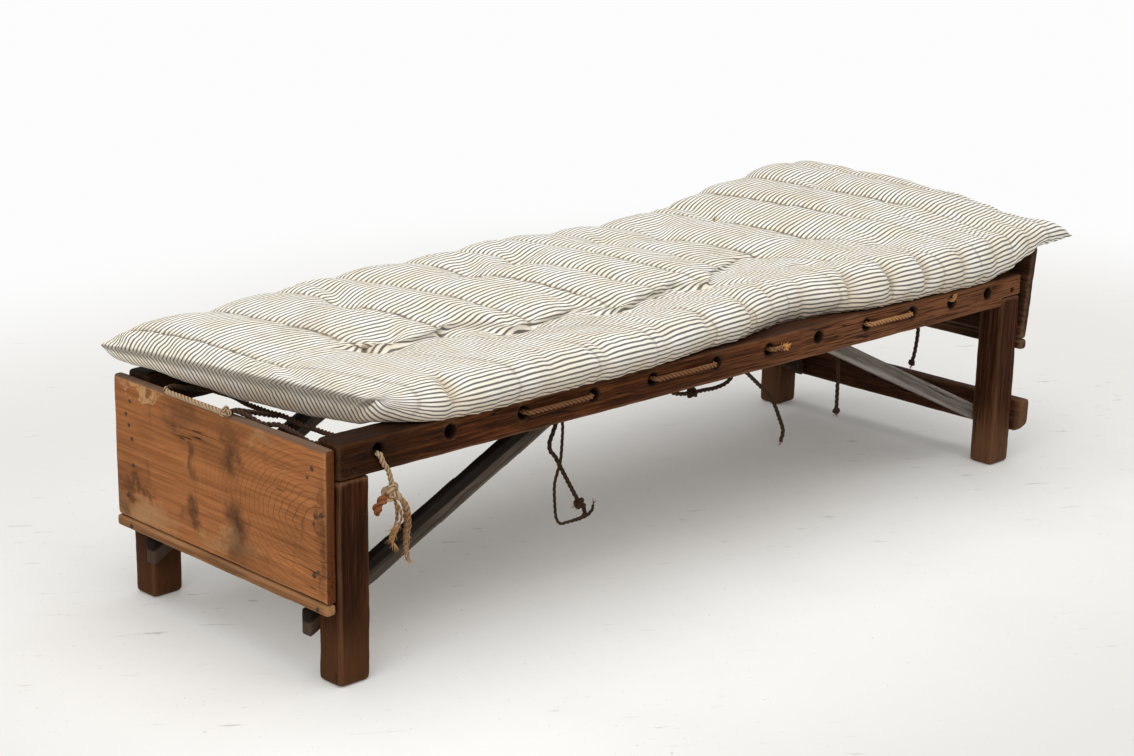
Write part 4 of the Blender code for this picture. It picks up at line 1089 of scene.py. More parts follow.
@dataclass
class BedSizes:
    """The sizes of the frame that ropes, cords and the mattress follow."""

    frame_length: float = 1.866
    foot_width: float = 0.596
    head_width: float = 0.670
    side_thickness: float = 0.060
    rail_top: float = 0.426
    hole_diameter: float = 0.023
    hole_drop: float = 0.026
    first_hole: float = 0.083
    last_hole: float = 0.121
    hole_shares: tuple[float, ...] = (
        0.0, 0.094, 0.194, 0.295, 0.386, 0.489, 0.578, 0.666, 0.755, 0.844, 0.924, 1.0)
    foot_overhang: float = 0.037
    head_overhang: float = 0.109
    rope_diameter: float = 0.010
    soft_gap: float = 0.0005
    panel_top: float = 0.418
    panel_thickness: float = 0.020

    @property
    def taper(self) -> float:
        """Angle of each side to the bed's length."""
        return math.atan2((self.head_width - self.foot_width) / 2, self.frame_length)

    @property
    def origin_shift(self) -> float:
        """Place of the foot legs' outer faces in the row frame."""
        return (self.foot_overhang - self.head_overhang - self.frame_length) / 2

    @property
    def hole_z(self) -> float:
        """Height of the rope holes."""
        return self.rail_top - self.hole_drop

    @property
    def rope_bend(self) -> float:
        """Radius of a rope's middle line round a rim."""
        return self.rope_diameter / 2 + self.soft_gap

    def hole_x(self, hole: int) -> float:
        """Place of a hole along its rail, counted from zero at the foot."""
        span = self.frame_length - self.first_hole - self.last_hole
        return self.first_hole + self.hole_shares[hole] * span

    def row(self, points: Iterable[Point]) -> Array:
        """Bring points into the row frame."""
        return np.array([tuple(point) for point in points], float) + (self.origin_shift, 0.0, 0.0)

    def side_point(self, inward: int, x: float, inset: float, z: float) -> Array:
        """A point of one long side.

        Args:
            inward: 1 on the near side, -1 on the far side.
            x: Place along the rail.
            inset: Distance in from the rail's outer face.
            z: Height.

        Returns:
            The point.
        """
        turn = -inward * self.taper
        across = inward * inset
        return np.array((x * math.cos(turn) - across * math.sin(turn),
                         x * math.sin(turn) + across * math.cos(turn) - inward * self.foot_width / 2, z))

    def rim(self, inward: int, hole: int, along: int, upward: int = 0) -> list[Array]:
        """Points of a rope through a hole that turns over its rim.

        Args:
            inward: 1 on the near side, -1 on the far side.
            hole: The hole's number.
            along: Way of the turn along the rail.
            upward: Way of the turn up the rail.

        Returns:
            The points from the inner face out.
        """
        radius, bend = self.hole_diameter / 2, self.rope_bend
        corner = [(radius - bend, self.side_thickness), (radius - bend, bend)]
        for quarter in (0.0, 0.5, 1.0):
            angle = quarter * math.pi / 2
            corner.append((radius - bend * math.cos(angle), -bend * math.sin(angle)))
        x = self.hole_x(hole)
        return [self.side_point(inward, x + along * out, inset, self.hole_z + upward * out)
                for out, inset in corner]

    def axis(self, inward: int, hole: int) -> list[Array]:
        """The outer and inner ends of a hole's own axis."""
        x = self.hole_x(hole)
        return [self.side_point(inward, x, inset, self.hole_z) for inset in (0.0, self.side_thickness)]

    def outer_run(self, inward: int, first: int) -> list[Array]:
        """A rope out of one hole, along the rail's face, and into the next hole towards the head."""
        return self.rim(inward, first, 1) + self.rim(inward, first + 1, -1)[::-1]


@dataclass
class Studio:
    """The camera, the floor and the soft lights, each a name, place, target, side and power in watts."""

    camera_place: Point = (-3.106, -2.953, 1.531)
    azimuth: float = 45.02
    drop: float = 16.21
    roll: float = 1.11
    focal_pixels: float = 2221.0
    image_width: float = 1134.0
    sensor: float = 36.0
    floor_size: float = 60.0
    world_strength: float = 0.55
    background: Colour = (1.0, 1.0, 1.0)
    lamps: tuple[tuple[str, Point, Point, float, float], ...] = (
        ("sky_box", (-0.2, -0.5, 3.4), (0.1, 0.0, 0.4), 5.0, 126.0),
        ("side_box", (-3.6, -1.6, 1.9), (0.0, 0.0, 0.35), 2.2, 40.0))

    def build(self) -> None:
        """Make the camera, floor, world and lamps."""
        self.make_camera()
        self.make_floor()
        self.make_world()
        for name, place, target, size, power in self.lamps:
            data = bpy.data.lights.new(name, "AREA")
            data.size, data.energy = size, power
            lamp = link_object(name, data)
            lamp.location = place
            lamp.rotation_euler = (Vector(target) - Vector(place)).to_track_quat("-Z", "Y").to_euler()

    def make_camera(self) -> None:
        """Set the camera where the bed is seen as in the photograph."""
        azimuth, drop, roll = (math.radians(angle) for angle in (self.azimuth, self.drop, self.roll))
        level = math.cos(drop)
        ahead = Vector((math.cos(azimuth) * level, math.sin(azimuth) * level, -math.sin(drop)))
        right = Vector((math.sin(azimuth), -math.cos(azimuth), 0.0))
        up = right.cross(ahead)
        rolled_right = math.cos(roll) * right + math.sin(roll) * up
        rolled_up = math.cos(roll) * up - math.sin(roll) * right
        data = bpy.data.cameras.new("photo_camera")
        data.sensor_width = self.sensor
        data.lens = self.focal_pixels / self.image_width * self.sensor
        camera = link_object("photo_camera", data)
        turn = Matrix((rolled_right, rolled_up, -ahead)).transposed().to_4x4()
        camera.matrix_world = Matrix.Translation(self.camera_place) @ turn
        bpy.context.scene.camera = camera

    def make_floor(self) -> None:
        """Lay the floor."""
        bm = bmesh.new()
        bmesh.ops.create_grid(bm, x_segments=2, y_segments=2, size=self.floor_size / 2)
        mesh = bpy.data.meshes.new("floor")
        bm.to_mesh(mesh)
        bm.free()
        mesh.materials.append(FloorFinish().material())
        link_object("floor", mesh)

    def make_world(self) -> None:
        """Light the bed from all round, before a white background."""
        scene = bpy.context.scene
        scene.view_settings.view_transform = "Standard"
        scene.world = bpy.data.worlds.new("soft_white")
        scene.world.use_nodes = True
        scene.world.node_tree.nodes.clear()
        book = NodeBook(scene.world.node_tree)
        glow = book.value("ShaderNodeBackground", {}, {"Strength": self.world_strength})
        white = book.value("ShaderNodeBackground", {}, {"Color": self.background})
        camera, glossy, through = (book.value("ShaderNodeLightPath", {}, {}, "Is %s Ray" % kind)
                                   for kind in ("Camera", "Glossy", "Transmission"))
        seen = camera.most(glossy).most(through)
        both = book.value("ShaderNodeMixShader", {}, {0: seen, 1: glow, 2: white})
        book.node("ShaderNodeOutputWorld", {}, {"Surface": both})


@dataclass
class Wisps:
    """Loose fibres that stand out of frayed rope and cord ends."""

    thickness: float = 0.0006
    spread: float = 0.55
    bend: float = 0.30
    shortest: float = 0.35
    planted: Optional[Growth] = None

    def tree(self) -> Growth:
        """The tree that grows bent hairs from each point, along its own way.

        Returns:
            The tree.
        """
        grow = Growth("frayed_wisps", Count=("Int", 8), Thickness=("Float", 0.0006), Spread=("Float", 0.5),
                      Bend=("Float", 0.3), Seed=("Int", 1), Material=("Material", None))
        seed = grow.given("Seed")
        shape = {"Vertices": 3, "Side Segments": 5, "Radius Top": 0.0002, "Depth": 1.0}
        cone = grow.value("GeometryNodeMeshCone", {},
                          {**shape, "Radius Bottom": grow.given("Thickness")}, "Mesh")
        height = grow.value("ShaderNodeSeparateXYZ", {}, {0: grow.value("GeometryNodeInputPosition")}, "Z")
        offset = grow.value("ShaderNodeCombineXYZ", {}, {"X": height * height * grow.given("Bend") * 0.01})
        hair = grow.value("GeometryNodeSetPosition", {}, {"Geometry": cone, "Offset": offset})
        roots = grow.value("GeometryNodeDuplicateElements", {"domain": "POINT"},
                           {"Geometry": grow.given("Geometry"), "Amount": grow.given("Count")})
        tilt = grow.value("FunctionNodeRandomValue", {"data_type": "FLOAT_VECTOR"},
                          {0: (-1.0, -1.0, -1.0), 1: (1.0, 1.0, 1.0), "Seed": seed})
        aim = grow.added(grow.named("way", "FLOAT_VECTOR"), grow.scaled(tilt, grow.given("Spread")))
        angle = grow.random(0.0, 2 * math.pi, seed + 1.0)
        spin = grow.value("FunctionNodeAxisAngleToRotation", {}, {"Axis": (0.0, 0.0, 1.0), "Angle": angle})
        facing = grow.value("FunctionNodeAlignRotationToVector", {"axis": "Z"},
                            {"Rotation": spin, "Vector": aim})
        length = grow.random(self.shortest, 1.0, seed + 2.0) * grow.named("reach")
        size = grow.value("ShaderNodeCombineXYZ", {}, {"X": 1.0, "Y": 1.0, "Z": length})
        grow.finish(grow.value("GeometryNodeInstanceOnPoints", {},
                               {"Points": roots, "Instance": hair, "Rotation": facing, "Scale": size}))
        return grow

    def grow(self, name: str, roots: Sequence[tuple[Point, Point, float]], count: int, seed: int,
             finish: Material) -> Object:
        """Grow one bunch of fibres.

        Args:
            name: The piece's name.
            roots: Place, way and longest reach of each root.
            count: Fibres at each root.
            seed: Seed of their tilt and length.
            finish: Their finish.

        Returns:
            The piece.
        """
        self.planted = self.planted or self.tree()
        places, ways, reaches = zip(*roots)
        seedling = point_mesh(name + "_roots", places)
        mark_points(seedling, "way", unit(np.array([tuple(way) for way in ways], float)))
        mark_points(seedling, "reach", np.array(reaches))
        return self.planted.grow(name, seedling, Count=count, Thickness=self.thickness, Spread=self.spread,
                                 Bend=self.bend, Seed=seed, Material=finish)


class CordEnd(Enum):
    """What a hanging cord ends in."""

    BARE = "bare"
    OBJECT = "object"


@dataclass
class HangingCords:
    """The thin dark cords that hang from the cross ropes."""

    sizes: BedSizes
    finish: Material
    diameter: float = 0.009
    lay_pitch: float = 0.034
    step: float = 0.0025
    thin_share: float = 0.70
    thin_name: str = "loop_cord"
    thin_from: float = 0.46
    thin_over: float = 0.10
    bunch_place: Point = (0.650, -0.2050, 0.150)
    bunch_way: Point = (0.5, 0.8, 0.3)
    bunch_size: Point = (0.026, 0.025, 0.018)
    bunch_fray: tuple[tuple[Point, float], ...] = (
        ((-0.6, 0.3, -0.6), 0.022), ((-0.9, 0.5, 0.1), 0.018), ((0.2, -0.4, -0.9), 0.016))
    hook_thin: float = 0.6
    hook_fray: float = 0.014
    sag_knot: Point = (0.9387, -0.2168, 0.3115)
    sag_knot_way: Point = (1.0, 0.1, 0.1)
    end_fray: float = 0.013
    end_knots: tuple[str, ...] = ("straight_cord", "short_cord")
    end_knot_size: Point = (0.018, 0.017, 0.013)
    end_knot_rope: float = 0.006
    end_knot_pitch: float = 0.020
    bunch_hook: tuple[Point, ...] = (
        (0.6500, -0.2120, 0.1250), (0.6640, -0.2125, 0.1270), (0.6740, -0.2130, 0.1340),
        (0.6770, -0.2130, 0.1440))
    routes: tuple[tuple[str, CordEnd, tuple[Point, ...]], ...] = (
        ("loop_cord", CordEnd.OBJECT, (
            (0.5695, -0.2014, 0.3943), (0.5770, -0.2016, 0.3640), (0.5880, -0.2018, 0.3300),
            (0.5800, -0.2016, 0.3050), (0.5710, -0.2014, 0.2860), (0.5730, -0.2015, 0.2690),
            (0.5860, -0.2017, 0.2540), (0.6060, -0.2021, 0.2210), (0.6280, -0.2026, 0.1850),
            (0.6460, -0.2029, 0.1570), (0.6580, -0.2040, 0.1420), (0.6600, -0.2080, 0.1300),
            (0.6480, -0.2120, 0.1245), (0.6290, -0.2150, 0.1255), (0.6050, -0.2155, 0.1262),
            (0.5880, -0.2158, 0.1280), (0.5780, -0.2156, 0.1400), (0.5740, -0.2155, 0.1600),
            (0.5715, -0.2154, 0.2050), (0.5785, -0.2156, 0.2300), (0.5856, -0.2157, 0.2508),
            (0.5885, -0.2159, 0.2850), (0.5890, -0.2160, 0.3190), (0.5830, -0.2158, 0.3560),
            (0.5695, -0.2154, 0.3943))),
        ("sagging_cord", CordEnd.OBJECT, (
            (1.0480, -0.2189, 0.3943), (1.0530, -0.2191, 0.3600), (1.0520, -0.2191, 0.3260),
            (1.0364, -0.2187, 0.3129), (1.0049, -0.2181, 0.3086), (0.9735, -0.2175, 0.3102),
            (0.9387, -0.2168, 0.3115), (0.9050, -0.2161, 0.3155), (0.8790, -0.2156, 0.3260),
            (0.8760, -0.2155, 0.3500), (0.8912, -0.2158, 0.3943))),
        ("curved_cord", CordEnd.BARE, (
            (1.0480, -0.2069, 0.3943), (1.0580, -0.2070, 0.3680), (1.0820, -0.2075, 0.3400),
            (1.1092, -0.2080, 0.3177), (1.1564, -0.2090, 0.2777), (1.1919, -0.2095, 0.2436),
            (1.2163, -0.2100, 0.2008), (1.2291, -0.2100, 0.1716), (1.2229, -0.2100, 0.1504))),
        ("straight_cord", CordEnd.BARE, (
            (1.3428, -0.2249, 0.3943), (1.3530, -0.2250, 0.3660), (1.3720, -0.2254, 0.3350),
            (1.3775, -0.2255, 0.3050), (1.3805, -0.2256, 0.2523), (1.3813, -0.2256, 0.1828))),
        ("short_cord", CordEnd.BARE, (
            (1.6183, -0.2304, 0.3999), (1.6300, -0.2306, 0.3600), (1.6420, -0.2309, 0.3200),
            (1.6367, -0.2307, 0.2734), (1.6260, -0.2305, 0.2419))),
    )

    def loose_ends(self, fibres: Wisps, rust: Material) -> dict[str, list[Object]]:
        """Knot and fray the cords' ends.

        Args:
            fibres: What grows the loose fibres.
            rust: Finish of the fibres that show their inside.

        Returns:
            The pieces that go with each cord.
        """
        row = self.sizes.row
        lay = RopeLay(self.diameter, pitch=self.lay_pitch, sides=6)
        bunch, hook = row([self.bunch_place])[0], smooth_line(row(self.bunch_hook), self.step)
        tied = trefoil_line(bunch, self.bunch_way, self.bunch_size, self.diameter)
        knot = lay.piece("loop_cord_bunch", self.finish, "dark_cord",
                         [(tied,), (hook, np.linspace(1.0, self.hook_thin, len(hook)))])
        roots = [(bunch, way, reach) for way, reach in self.bunch_fray]
        roots.append((hook[-1], hook[-1] - hook[-4], self.hook_fray))
        grown = fibres.grow("loop_cord_wisps", roots, count=12, seed=91, finish=rust)
        fuzz = settle_piece(grown, "frame", "dark_cord")
        tied = trefoil_line(row([self.sag_knot])[0], self.sag_knot_way, self.bunch_size, self.diameter)
        with_cord = {"loop_cord": [knot, fuzz],
                     "sagging_cord": [lay.piece("sagging_cord_knot", self.finish, "dark_cord", [(tied,)])]}
        thin = RopeLay(self.end_knot_rope, pitch=self.end_knot_pitch, sides=6)
        for seed, (name, end, route) in enumerate(self.routes, 95):
            if end is not CordEnd.BARE:
                continue
            line = smooth_line(row(route), self.step)
            roots = [(line[back], line[back] - line[back - 4], self.end_fray) for back in (-1, -3, -5)]
            grown = fibres.grow(name + "_wisps", roots, count=8, seed=seed, finish=rust)
            with_cord[name] = [settle_piece(grown, "frame", "dark_cord")]
            if name in self.end_knots:
                tied = trefoil_line(line[-3], line[-1] - line[-8], self.end_knot_size, self.end_knot_rope)
                with_cord[name].append(thin.piece(name + "_knot", self.finish, "dark_cord", [(tied,)]))
        return with_cord

    def build(self, fibres: Wisps, rust: Material) -> None:
        """Args:
            fibres: What grows the loose fibres.
            rust: Finish of the fibres.
        """
        with_cord = self.loose_ends(fibres, rust)
        lay = RopeLay(self.diameter, pitch=self.lay_pitch)
        for name, end, route in self.routes:
            line = smooth_line(self.sizes.row(route), self.step)
            lost = (1.0 - self.thin_share) * (name == self.thin_name)
            shares = np.linspace(0.0, 1.0, len(line))
            taper = 1.0 - lost * ease((shares - self.thin_from) / self.thin_over)
            cord = lay.piece(name + "_twist", self.finish, "dark_cord", [(line, taper)], name)


class Wear(Enum):
    """How far a timber's arrises are worn down, and how uneven its faces are."""

    RAIL = (0.55, 0.0014)
    LEG = (0.65, 0.0018)
    BOARD = (0.45, 0.0010)
    BRACE = (0.20, 0.0010)


@dataclass
class Timbers:
    """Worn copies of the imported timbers, each with its own grain."""

    nodes: dict[str, Object]
    sizes: BedSizes
    voxel: float = 0.003
    peg_voxel: float = 0.001
    grime_reach: float = 0.007
    calm_rounds: int = 3
    soft_rounds: int = 16
    full_wear: float = 0.0022
    patch_scale: float = 11.0
    patch_band: Band = (0.34, 0.66)
    dent_scale: float = 26.0
    dent_shift: float = 7.3
    dent_middle: float = 0.58
    weld: float = 1e-5

    @staticmethod
    def panel_finish() -> WoodFinish:
        """The foot panel's wood: ringed, wet in places, and rubbed pale in others.

        Returns:
            The finish.
        """
        wet, pale, fresh = (0.050, 0.024, 0.013), (0.400, 0.225, 0.105), (0.520, 0.320, 0.150)
        return WoodFinish(
            "panel_wood", Grain.ACROSS, (0.240, 0.088, 0.030), (0.400, 0.158, 0.056), (0.440, 0.240, 0.115),
            (0.080, 0.036, 0.017), stain_share=0.34, rings=150.0, ring_colour=(0.105, 0.037, 0.014),
            ring_edge=(0.76, 0.99), ring_wander=6.0, ring_reach=(0.06, 0.30), ring_stretch=0.6,
            heart=(0.165, -0.930, -0.285), ring_strength=0.62, rubbed_share=0.40, runs=0.35,
            fibre_strength=0.25,
            zones=((2, 0.4110, 0.4155, (0.100, 0.070, 0.050), 0.85),
                   (1, -0.2878, -0.2910, (0.078, 0.022, 0.005), 0.92)),
            blots=((0.240, 0.172, 0.120, 0.034, 0.75, pale), (-0.020, 0.190, 0.090, 0.022, 0.55, pale),
                   (-0.125, 0.395, 0.040, 0.020, 0.45, pale), (-0.030, 0.345, 0.026, 0.060, 0.75, wet),
                   (-0.050, 0.215, 0.040, 0.058, 0.85, wet), (0.072, 0.315, 0.018, 0.045, 0.65, wet),
                   (0.075, 0.205, 0.026, 0.034, 0.75, wet), (0.110, 0.385, 0.060, 0.030, 0.45, wet),
                   (0.245, 0.215, 0.075, 0.012, 0.65, wet), (0.295, 0.170, 0.030, 0.026, 0.65, wet),
                   (-0.284, 0.270, 0.016, 0.110, 0.65, wet), (0.235, 0.4080, 0.085, 0.007, 0.80, fresh)))

    def finishes(self) -> dict[str, tuple[WoodFinish, Wear, str]]:
        """The finish, the wear and the slot of each timber, by node.

        Returns:
            One entry for each node.
        """
        # The rail's first zone is a painted shadow of the mattress along its top; the second makes it darker
        # towards its foot end.
        rail = WoodFinish(
            "rail_wood", Grain.LENGTHWISE,
            (0.024, 0.007, 0.002), (0.148, 0.048, 0.015), (0.190, 0.088, 0.044),
            (0.014, 0.006, 0.004), stain_share=0.30, ring_strength=0.2, fibre_strength=0.80,
            faded=(0.270, 0.112, 0.052), fade=(-0.15, 0.30),
            zones=((2, 0.4215, 0.4250, (0.012, 0.006, 0.004), 0.70),
                   (0, -0.70, -0.88, (0.012, 0.004, 0.001), 0.70)))
        # The far rail is darker at its foot end: painted shade in the recess between the foot panel and the
        # mattress.
        far_rail = replace(rail, name="far_rail_wood",
                           zones=rail.zones[:1] + ((0, -0.55, -0.85, (0.012, 0.006, 0.004), 0.85),))
        leg = WoodFinish(
            "leg_wood", Grain.UPRIGHT, (0.014, 0.004, 0.001), (0.074, 0.022, 0.007), (0.150, 0.072, 0.036),
            (0.008, 0.004, 0.002), fibre_strength=0.65, zones=((2, 0.17, 0.02, (0.092, 0.038, 0.015), 0.65),))
        head_leg = replace(leg, name="head_leg_wood", dark=(0.020, 0.007, 0.003), light=(0.104, 0.036, 0.015),
                           zones=((2, 0.17, 0.02, (0.150, 0.072, 0.036), 0.65),))
        stretcher = WoodFinish(
            "stretcher_wood", Grain.ACROSS,
            (0.024, 0.009, 0.005), (0.100, 0.038, 0.019), (0.160, 0.076, 0.040),
            (0.011, 0.005, 0.003), zones=((1, -0.335, -0.352, (0.150, 0.076, 0.040), 0.60),))
        strip = WoodFinish(
            "strip_wood", Grain.ACROSS, (0.165, 0.068, 0.026), (0.320, 0.150, 0.064), (0.400, 0.225, 0.110),
            (0.095, 0.045, 0.022), rubbed_share=0.45, fibre_strength=0.35)
        board = WoodFinish(
            "head_board_wood", Grain.ACROSS,
            (0.030, 0.013, 0.007), (0.098, 0.043, 0.022), (0.160, 0.086, 0.048),
            (0.016, 0.008, 0.005))
        # The foot brace gets a band of painted shade along its top, where its upper face is in shade.
        foot_brace = WoodFinish(
            "foot_brace_wood", Grain.RISING,
            (0.045, 0.034, 0.026), (0.135, 0.108, 0.084), (0.170, 0.140, 0.112),
            (0.022, 0.016, 0.012), painted_shade_band=(0.514, 0.519),
            zones=((0, -0.90, -0.95, (0.055, 0.034, 0.023), 0.85),))
        head_brace = WoodFinish(
            "head_brace_wood", Grain.FALLING,
            (0.105, 0.088, 0.072), (0.255, 0.226, 0.194), (0.340, 0.305, 0.268),
            (0.060, 0.048, 0.038), stain_share=0.35)
        # The far head brace takes a darker copy of the head brace's finish: painted shade.
        far_brace = replace(head_brace, name="far_brace_wood", dark=(0.026, 0.014, 0.009),
                            light=(0.078, 0.046, 0.030), rubbed=(0.110, 0.072, 0.050))
        peg = WoodFinish(
            "peg_wood", Grain.ACROSS, (0.014, 0.006, 0.004), (0.055, 0.024, 0.013), (0.100, 0.055, 0.030),
            (0.007, 0.004, 0.003))
        made = {"head_stretcher": (stretcher, Wear.BOARD, "dark_wood"),
                "foot_panel": (self.panel_finish(), Wear.BOARD, "panel_wood"),
                "foot_panel_strip": (strip, Wear.BOARD, "panel_wood"),
                "head_board": (board, Wear.BOARD, "grey_wood"),
                "head_board_strip": (board, Wear.BOARD, "grey_wood")}
        for side, own_rail, own_brace in (("near", rail, head_brace), ("far", far_rail, far_brace)):
            made["side_rail_" + side] = (own_rail, Wear.RAIL, "dark_wood")
            made["brace_foot_" + side] = (foot_brace, Wear.BRACE, "grey_wood")
            made["brace_head_" + side] = (own_brace, Wear.BRACE, "grey_wood")
            for end, own_leg in (("foot", leg), ("head", head_leg)):
                made["leg_%s_%s" % (end, side)] = (own_leg, Wear.LEG, "dark_wood")
                made["rail_peg_%s_%s" % (end, side)] = (peg, Wear.BOARD, "peg_wood")
        return made

    def tree(self) -> Growth:
        """The tree that wears a timber.

        Returns:
            The tree.
        """
        grow = Growth("worn_timber", Wear=("Float", 0.8), Unevenness=("Float", 0.001), Seed=("Float", 0.0),
                      Material=("Material", None))
        place, seed = grow.value("GeometryNodeInputPosition"), grow.given("Seed")
        calm, soft = (grow.value("GeometryNodeBlurAttribute", {"data_type": "FLOAT_VECTOR"},
                                 {"Value": place, "Iterations": rounds})
                      for rounds in (self.calm_rounds, self.soft_rounds))
        lost = grow.value("ShaderNodeVectorMath", {"operation": "SUBTRACT"}, {0: soft, 1: calm})
        edge = grow.value("ShaderNodeVectorMath", {"operation": "LENGTH"}, {0: lost}, "Value")
        patch, dent = (grow.value("ShaderNodeTexNoise", {"noise_dimensions": "4D"},
                                  {"Vector": place, "W": own, "Scale": scale, "Detail": detail})
                       for own, scale, detail in ((seed, self.patch_scale, 3.0),
                                                  (seed + self.dent_shift, self.dent_scale, 2.0)))
        share = grow.step(patch, *self.patch_band) * grow.given("Wear")
        marked = grow.value("GeometryNodeStoreNamedAttribute", {"data_type": "FLOAT", "domain": "POINT"},
                            {"Geometry": grow.given("Geometry"), "Name": "worn",
                             "Value": edge * (0.35 + 0.9 * patch) / self.full_wear})
        uneven = grow.scaled(grow.value("GeometryNodeInputNormal"),
                             (dent - self.dent_middle) * grow.given("Unevenness"))
        target = grow.added(calm, grow.added(grow.scaled(lost, share), uneven))
        worn = grow.value("GeometryNodeSetPosition", {}, {"Geometry": marked, "Position": target})
        grow.finish(grow.value("GeometryNodeSetShadeSmooth", {}, {"Geometry": worn}))
        return grow

    def build(self) -> None:
        """Wear every timber and let it stand for its node."""
        tree = self.tree()
        dressed: dict[WoodFinish, Material] = {}
        for seed, (node, (finish, wear, slot)) in enumerate(sorted(self.finishes().items())):
            if finish not in dressed:
                dressed[finish] = finish.material()
            share, uneven = wear.value
            voxel = self.peg_voxel if node.startswith("rail_peg") else self.voxel
            piece = tree.grow(node + "_worn", self.welded(self.nodes[node].data), voxel, Wear=share,
                              Unevenness=uneven, Seed=float(seed), Material=dressed[finish])
            if node.startswith("side_rail"):
                self.soil(piece)
            settle_piece(piece, "frame", slot, node)

    def soil(self, rail: Object) -> None:
        """Mark the grime in and round a rail's rope holes.

        Args:
            rail: The worn rail.
        """
        points = mesh_points(rail.data)
        side = 1 if points[:, 1].mean() < 0.0 else -1
        grime = np.zeros(len(points))
        for hole in range(len(self.sizes.hole_shares)):
            outer, inner = self.sizes.row(self.sizes.axis(side, hole))
            away = np.linalg.norm(np.cross(points - outer, unit(inner - outer)), axis=1)
            grime = np.maximum(grime, 1.0 - ease((away - self.sizes.hole_diameter / 2) / self.grime_reach))
        mark_points(rail.data, "grime", grime)

    def welded(self, mesh: Mesh) -> Mesh:
        """A copy of a node's mesh with its loose triangles joined.

        Args:
            mesh: The node's mesh.

        Returns:
            The copy.
        """
        bm = bmesh.new()
        bm.from_mesh(mesh)
        bmesh.ops.remove_doubles(bm, verts=bm.verts, dist=self.weld)
        made = bpy.data.meshes.new(mesh.name + "_welded")
        bm.to_mesh(made)
        bm.free()
        return made


@dataclass
class Nails:
    """Rusted nail heads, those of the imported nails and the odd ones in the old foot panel."""

    nodes: dict[str, Object]
    sizes: BedSizes
    finish: Material
    head_radius: float = 0.0046
    head_height: float = 0.0020
    shank_radius: float = 0.0020
    shank_length: float = 0.014
    crown_corners: int = 6
    sunk_share: float = 0.7
    sunk: float = 0.0003
    seed: int = 3
    odd_places: tuple[tuple[float, float], ...] = (
        (0.262, 0.377), (0.276, 0.350), (0.268, 0.331), (0.258, 0.257), (-0.255, 0.380), (-0.243, 0.362),
        (-0.262, 0.300), (-0.258, 0.286), (-0.268, 0.205))

    def places(self) -> tuple[list[Array], list[Array]]:
        """Where the heads sit and which way they face.

        Returns:
            Points and directions.
        """
        points, ways = [], []
        for name in self.names():
            corners = mesh_points(self.nodes[name].data)
            tip = corners[np.argmax(np.linalg.norm(corners - corners.mean(axis=0), axis=1))]
            farthest = np.argsort(-np.linalg.norm(corners - tip, axis=1))[:self.crown_corners]
            crown = corners[farthest].mean(axis=0)
            ways.append(unit(crown - tip))
            points.append(crown - ways[-1] * self.head_height * self.sunk_share)
        face = self.sizes.origin_shift - self.sizes.panel_thickness + self.sunk
        for y, z in self.odd_places:
            points.append(np.array((face, y, z)))
            ways.append(np.array((-1.0, 0.0, 0.0)))
        return points, ways

    def names(self) -> list[str]:
        """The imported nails, in order."""
        return sorted(name for name in self.nodes if "_nail_" in name)

    def tree(self) -> Growth:
        """The tree that drives a nail at each point.

        Returns:
            The tree.
        """
        grow = Growth("driven_nails", Radius=("Float", 0.0045), Height=("Float", 0.002),
                      Shank=("Float", 0.002), Length=("Float", 0.014), Seed=("Int", 3),
                      Material=("Material", None))
        radius, length = grow.given("Radius"), grow.given("Length")
        head = grow.value("GeometryNodeMeshCone", {},
                          {"Vertices": 9, "Side Segments": 2, "Fill Segments": 1, "Radius Top": radius * 0.55,
                           "Radius Bottom": radius, "Depth": grow.given("Height")}, "Mesh")
        shank = grow.value("GeometryNodeMeshCone", {},
                           {"Vertices": 4, "Radius Top": grow.given("Shank"), "Radius Bottom": 0.0006,
                            "Depth": length}, "Mesh")
        drop = grow.value("ShaderNodeCombineXYZ", {}, {"Z": length * -1.0})
        lowered = grow.value("GeometryNodeTransform", {}, {"Geometry": shank, "Translation": drop})
        nail = grow.node("GeometryNodeJoinGeometry", {}, {0: head})
        grow.feed(nail, {0: lowered})
        facing = grow.value("FunctionNodeAlignRotationToVector", {"axis": "Z"},
                            {"Vector": grow.named("way", "FLOAT_VECTOR")})
        size = grow.random(0.8, 1.15, grow.given("Seed"))
        grow.finish(grow.value("GeometryNodeInstanceOnPoints", {},
                               {"Points": grow.given("Geometry"), "Instance": nail.outputs[0],
                                "Rotation": facing, "Scale": size}))
        return grow

    def build(self) -> None:
        """Drive the nails."""
        points, ways = self.places()
        seedling = point_mesh("nail_places", points)
        mark_points(seedling, "way", np.array(ways))
        piece = self.tree().grow("nail_heads", seedling, Radius=self.head_radius, Height=self.head_height,
                                 Shank=self.shank_radius, Length=self.shank_length, Seed=self.seed,
                                 Material=self.finish)
        settle_piece(piece, "frame", "iron", *self.names())


@dataclass(frozen=True)
class Waves:
    """Seeded noise in the cloth: its waves a metre along and across, and its height."""

    seed: int
    along: float
    across: float
    height: float

    def at(self, a: Array, b: Array) -> Array:
        """The height at places in metres."""
        return SmoothNoise(self.seed).at(a * self.along, b * self.across) * self.height


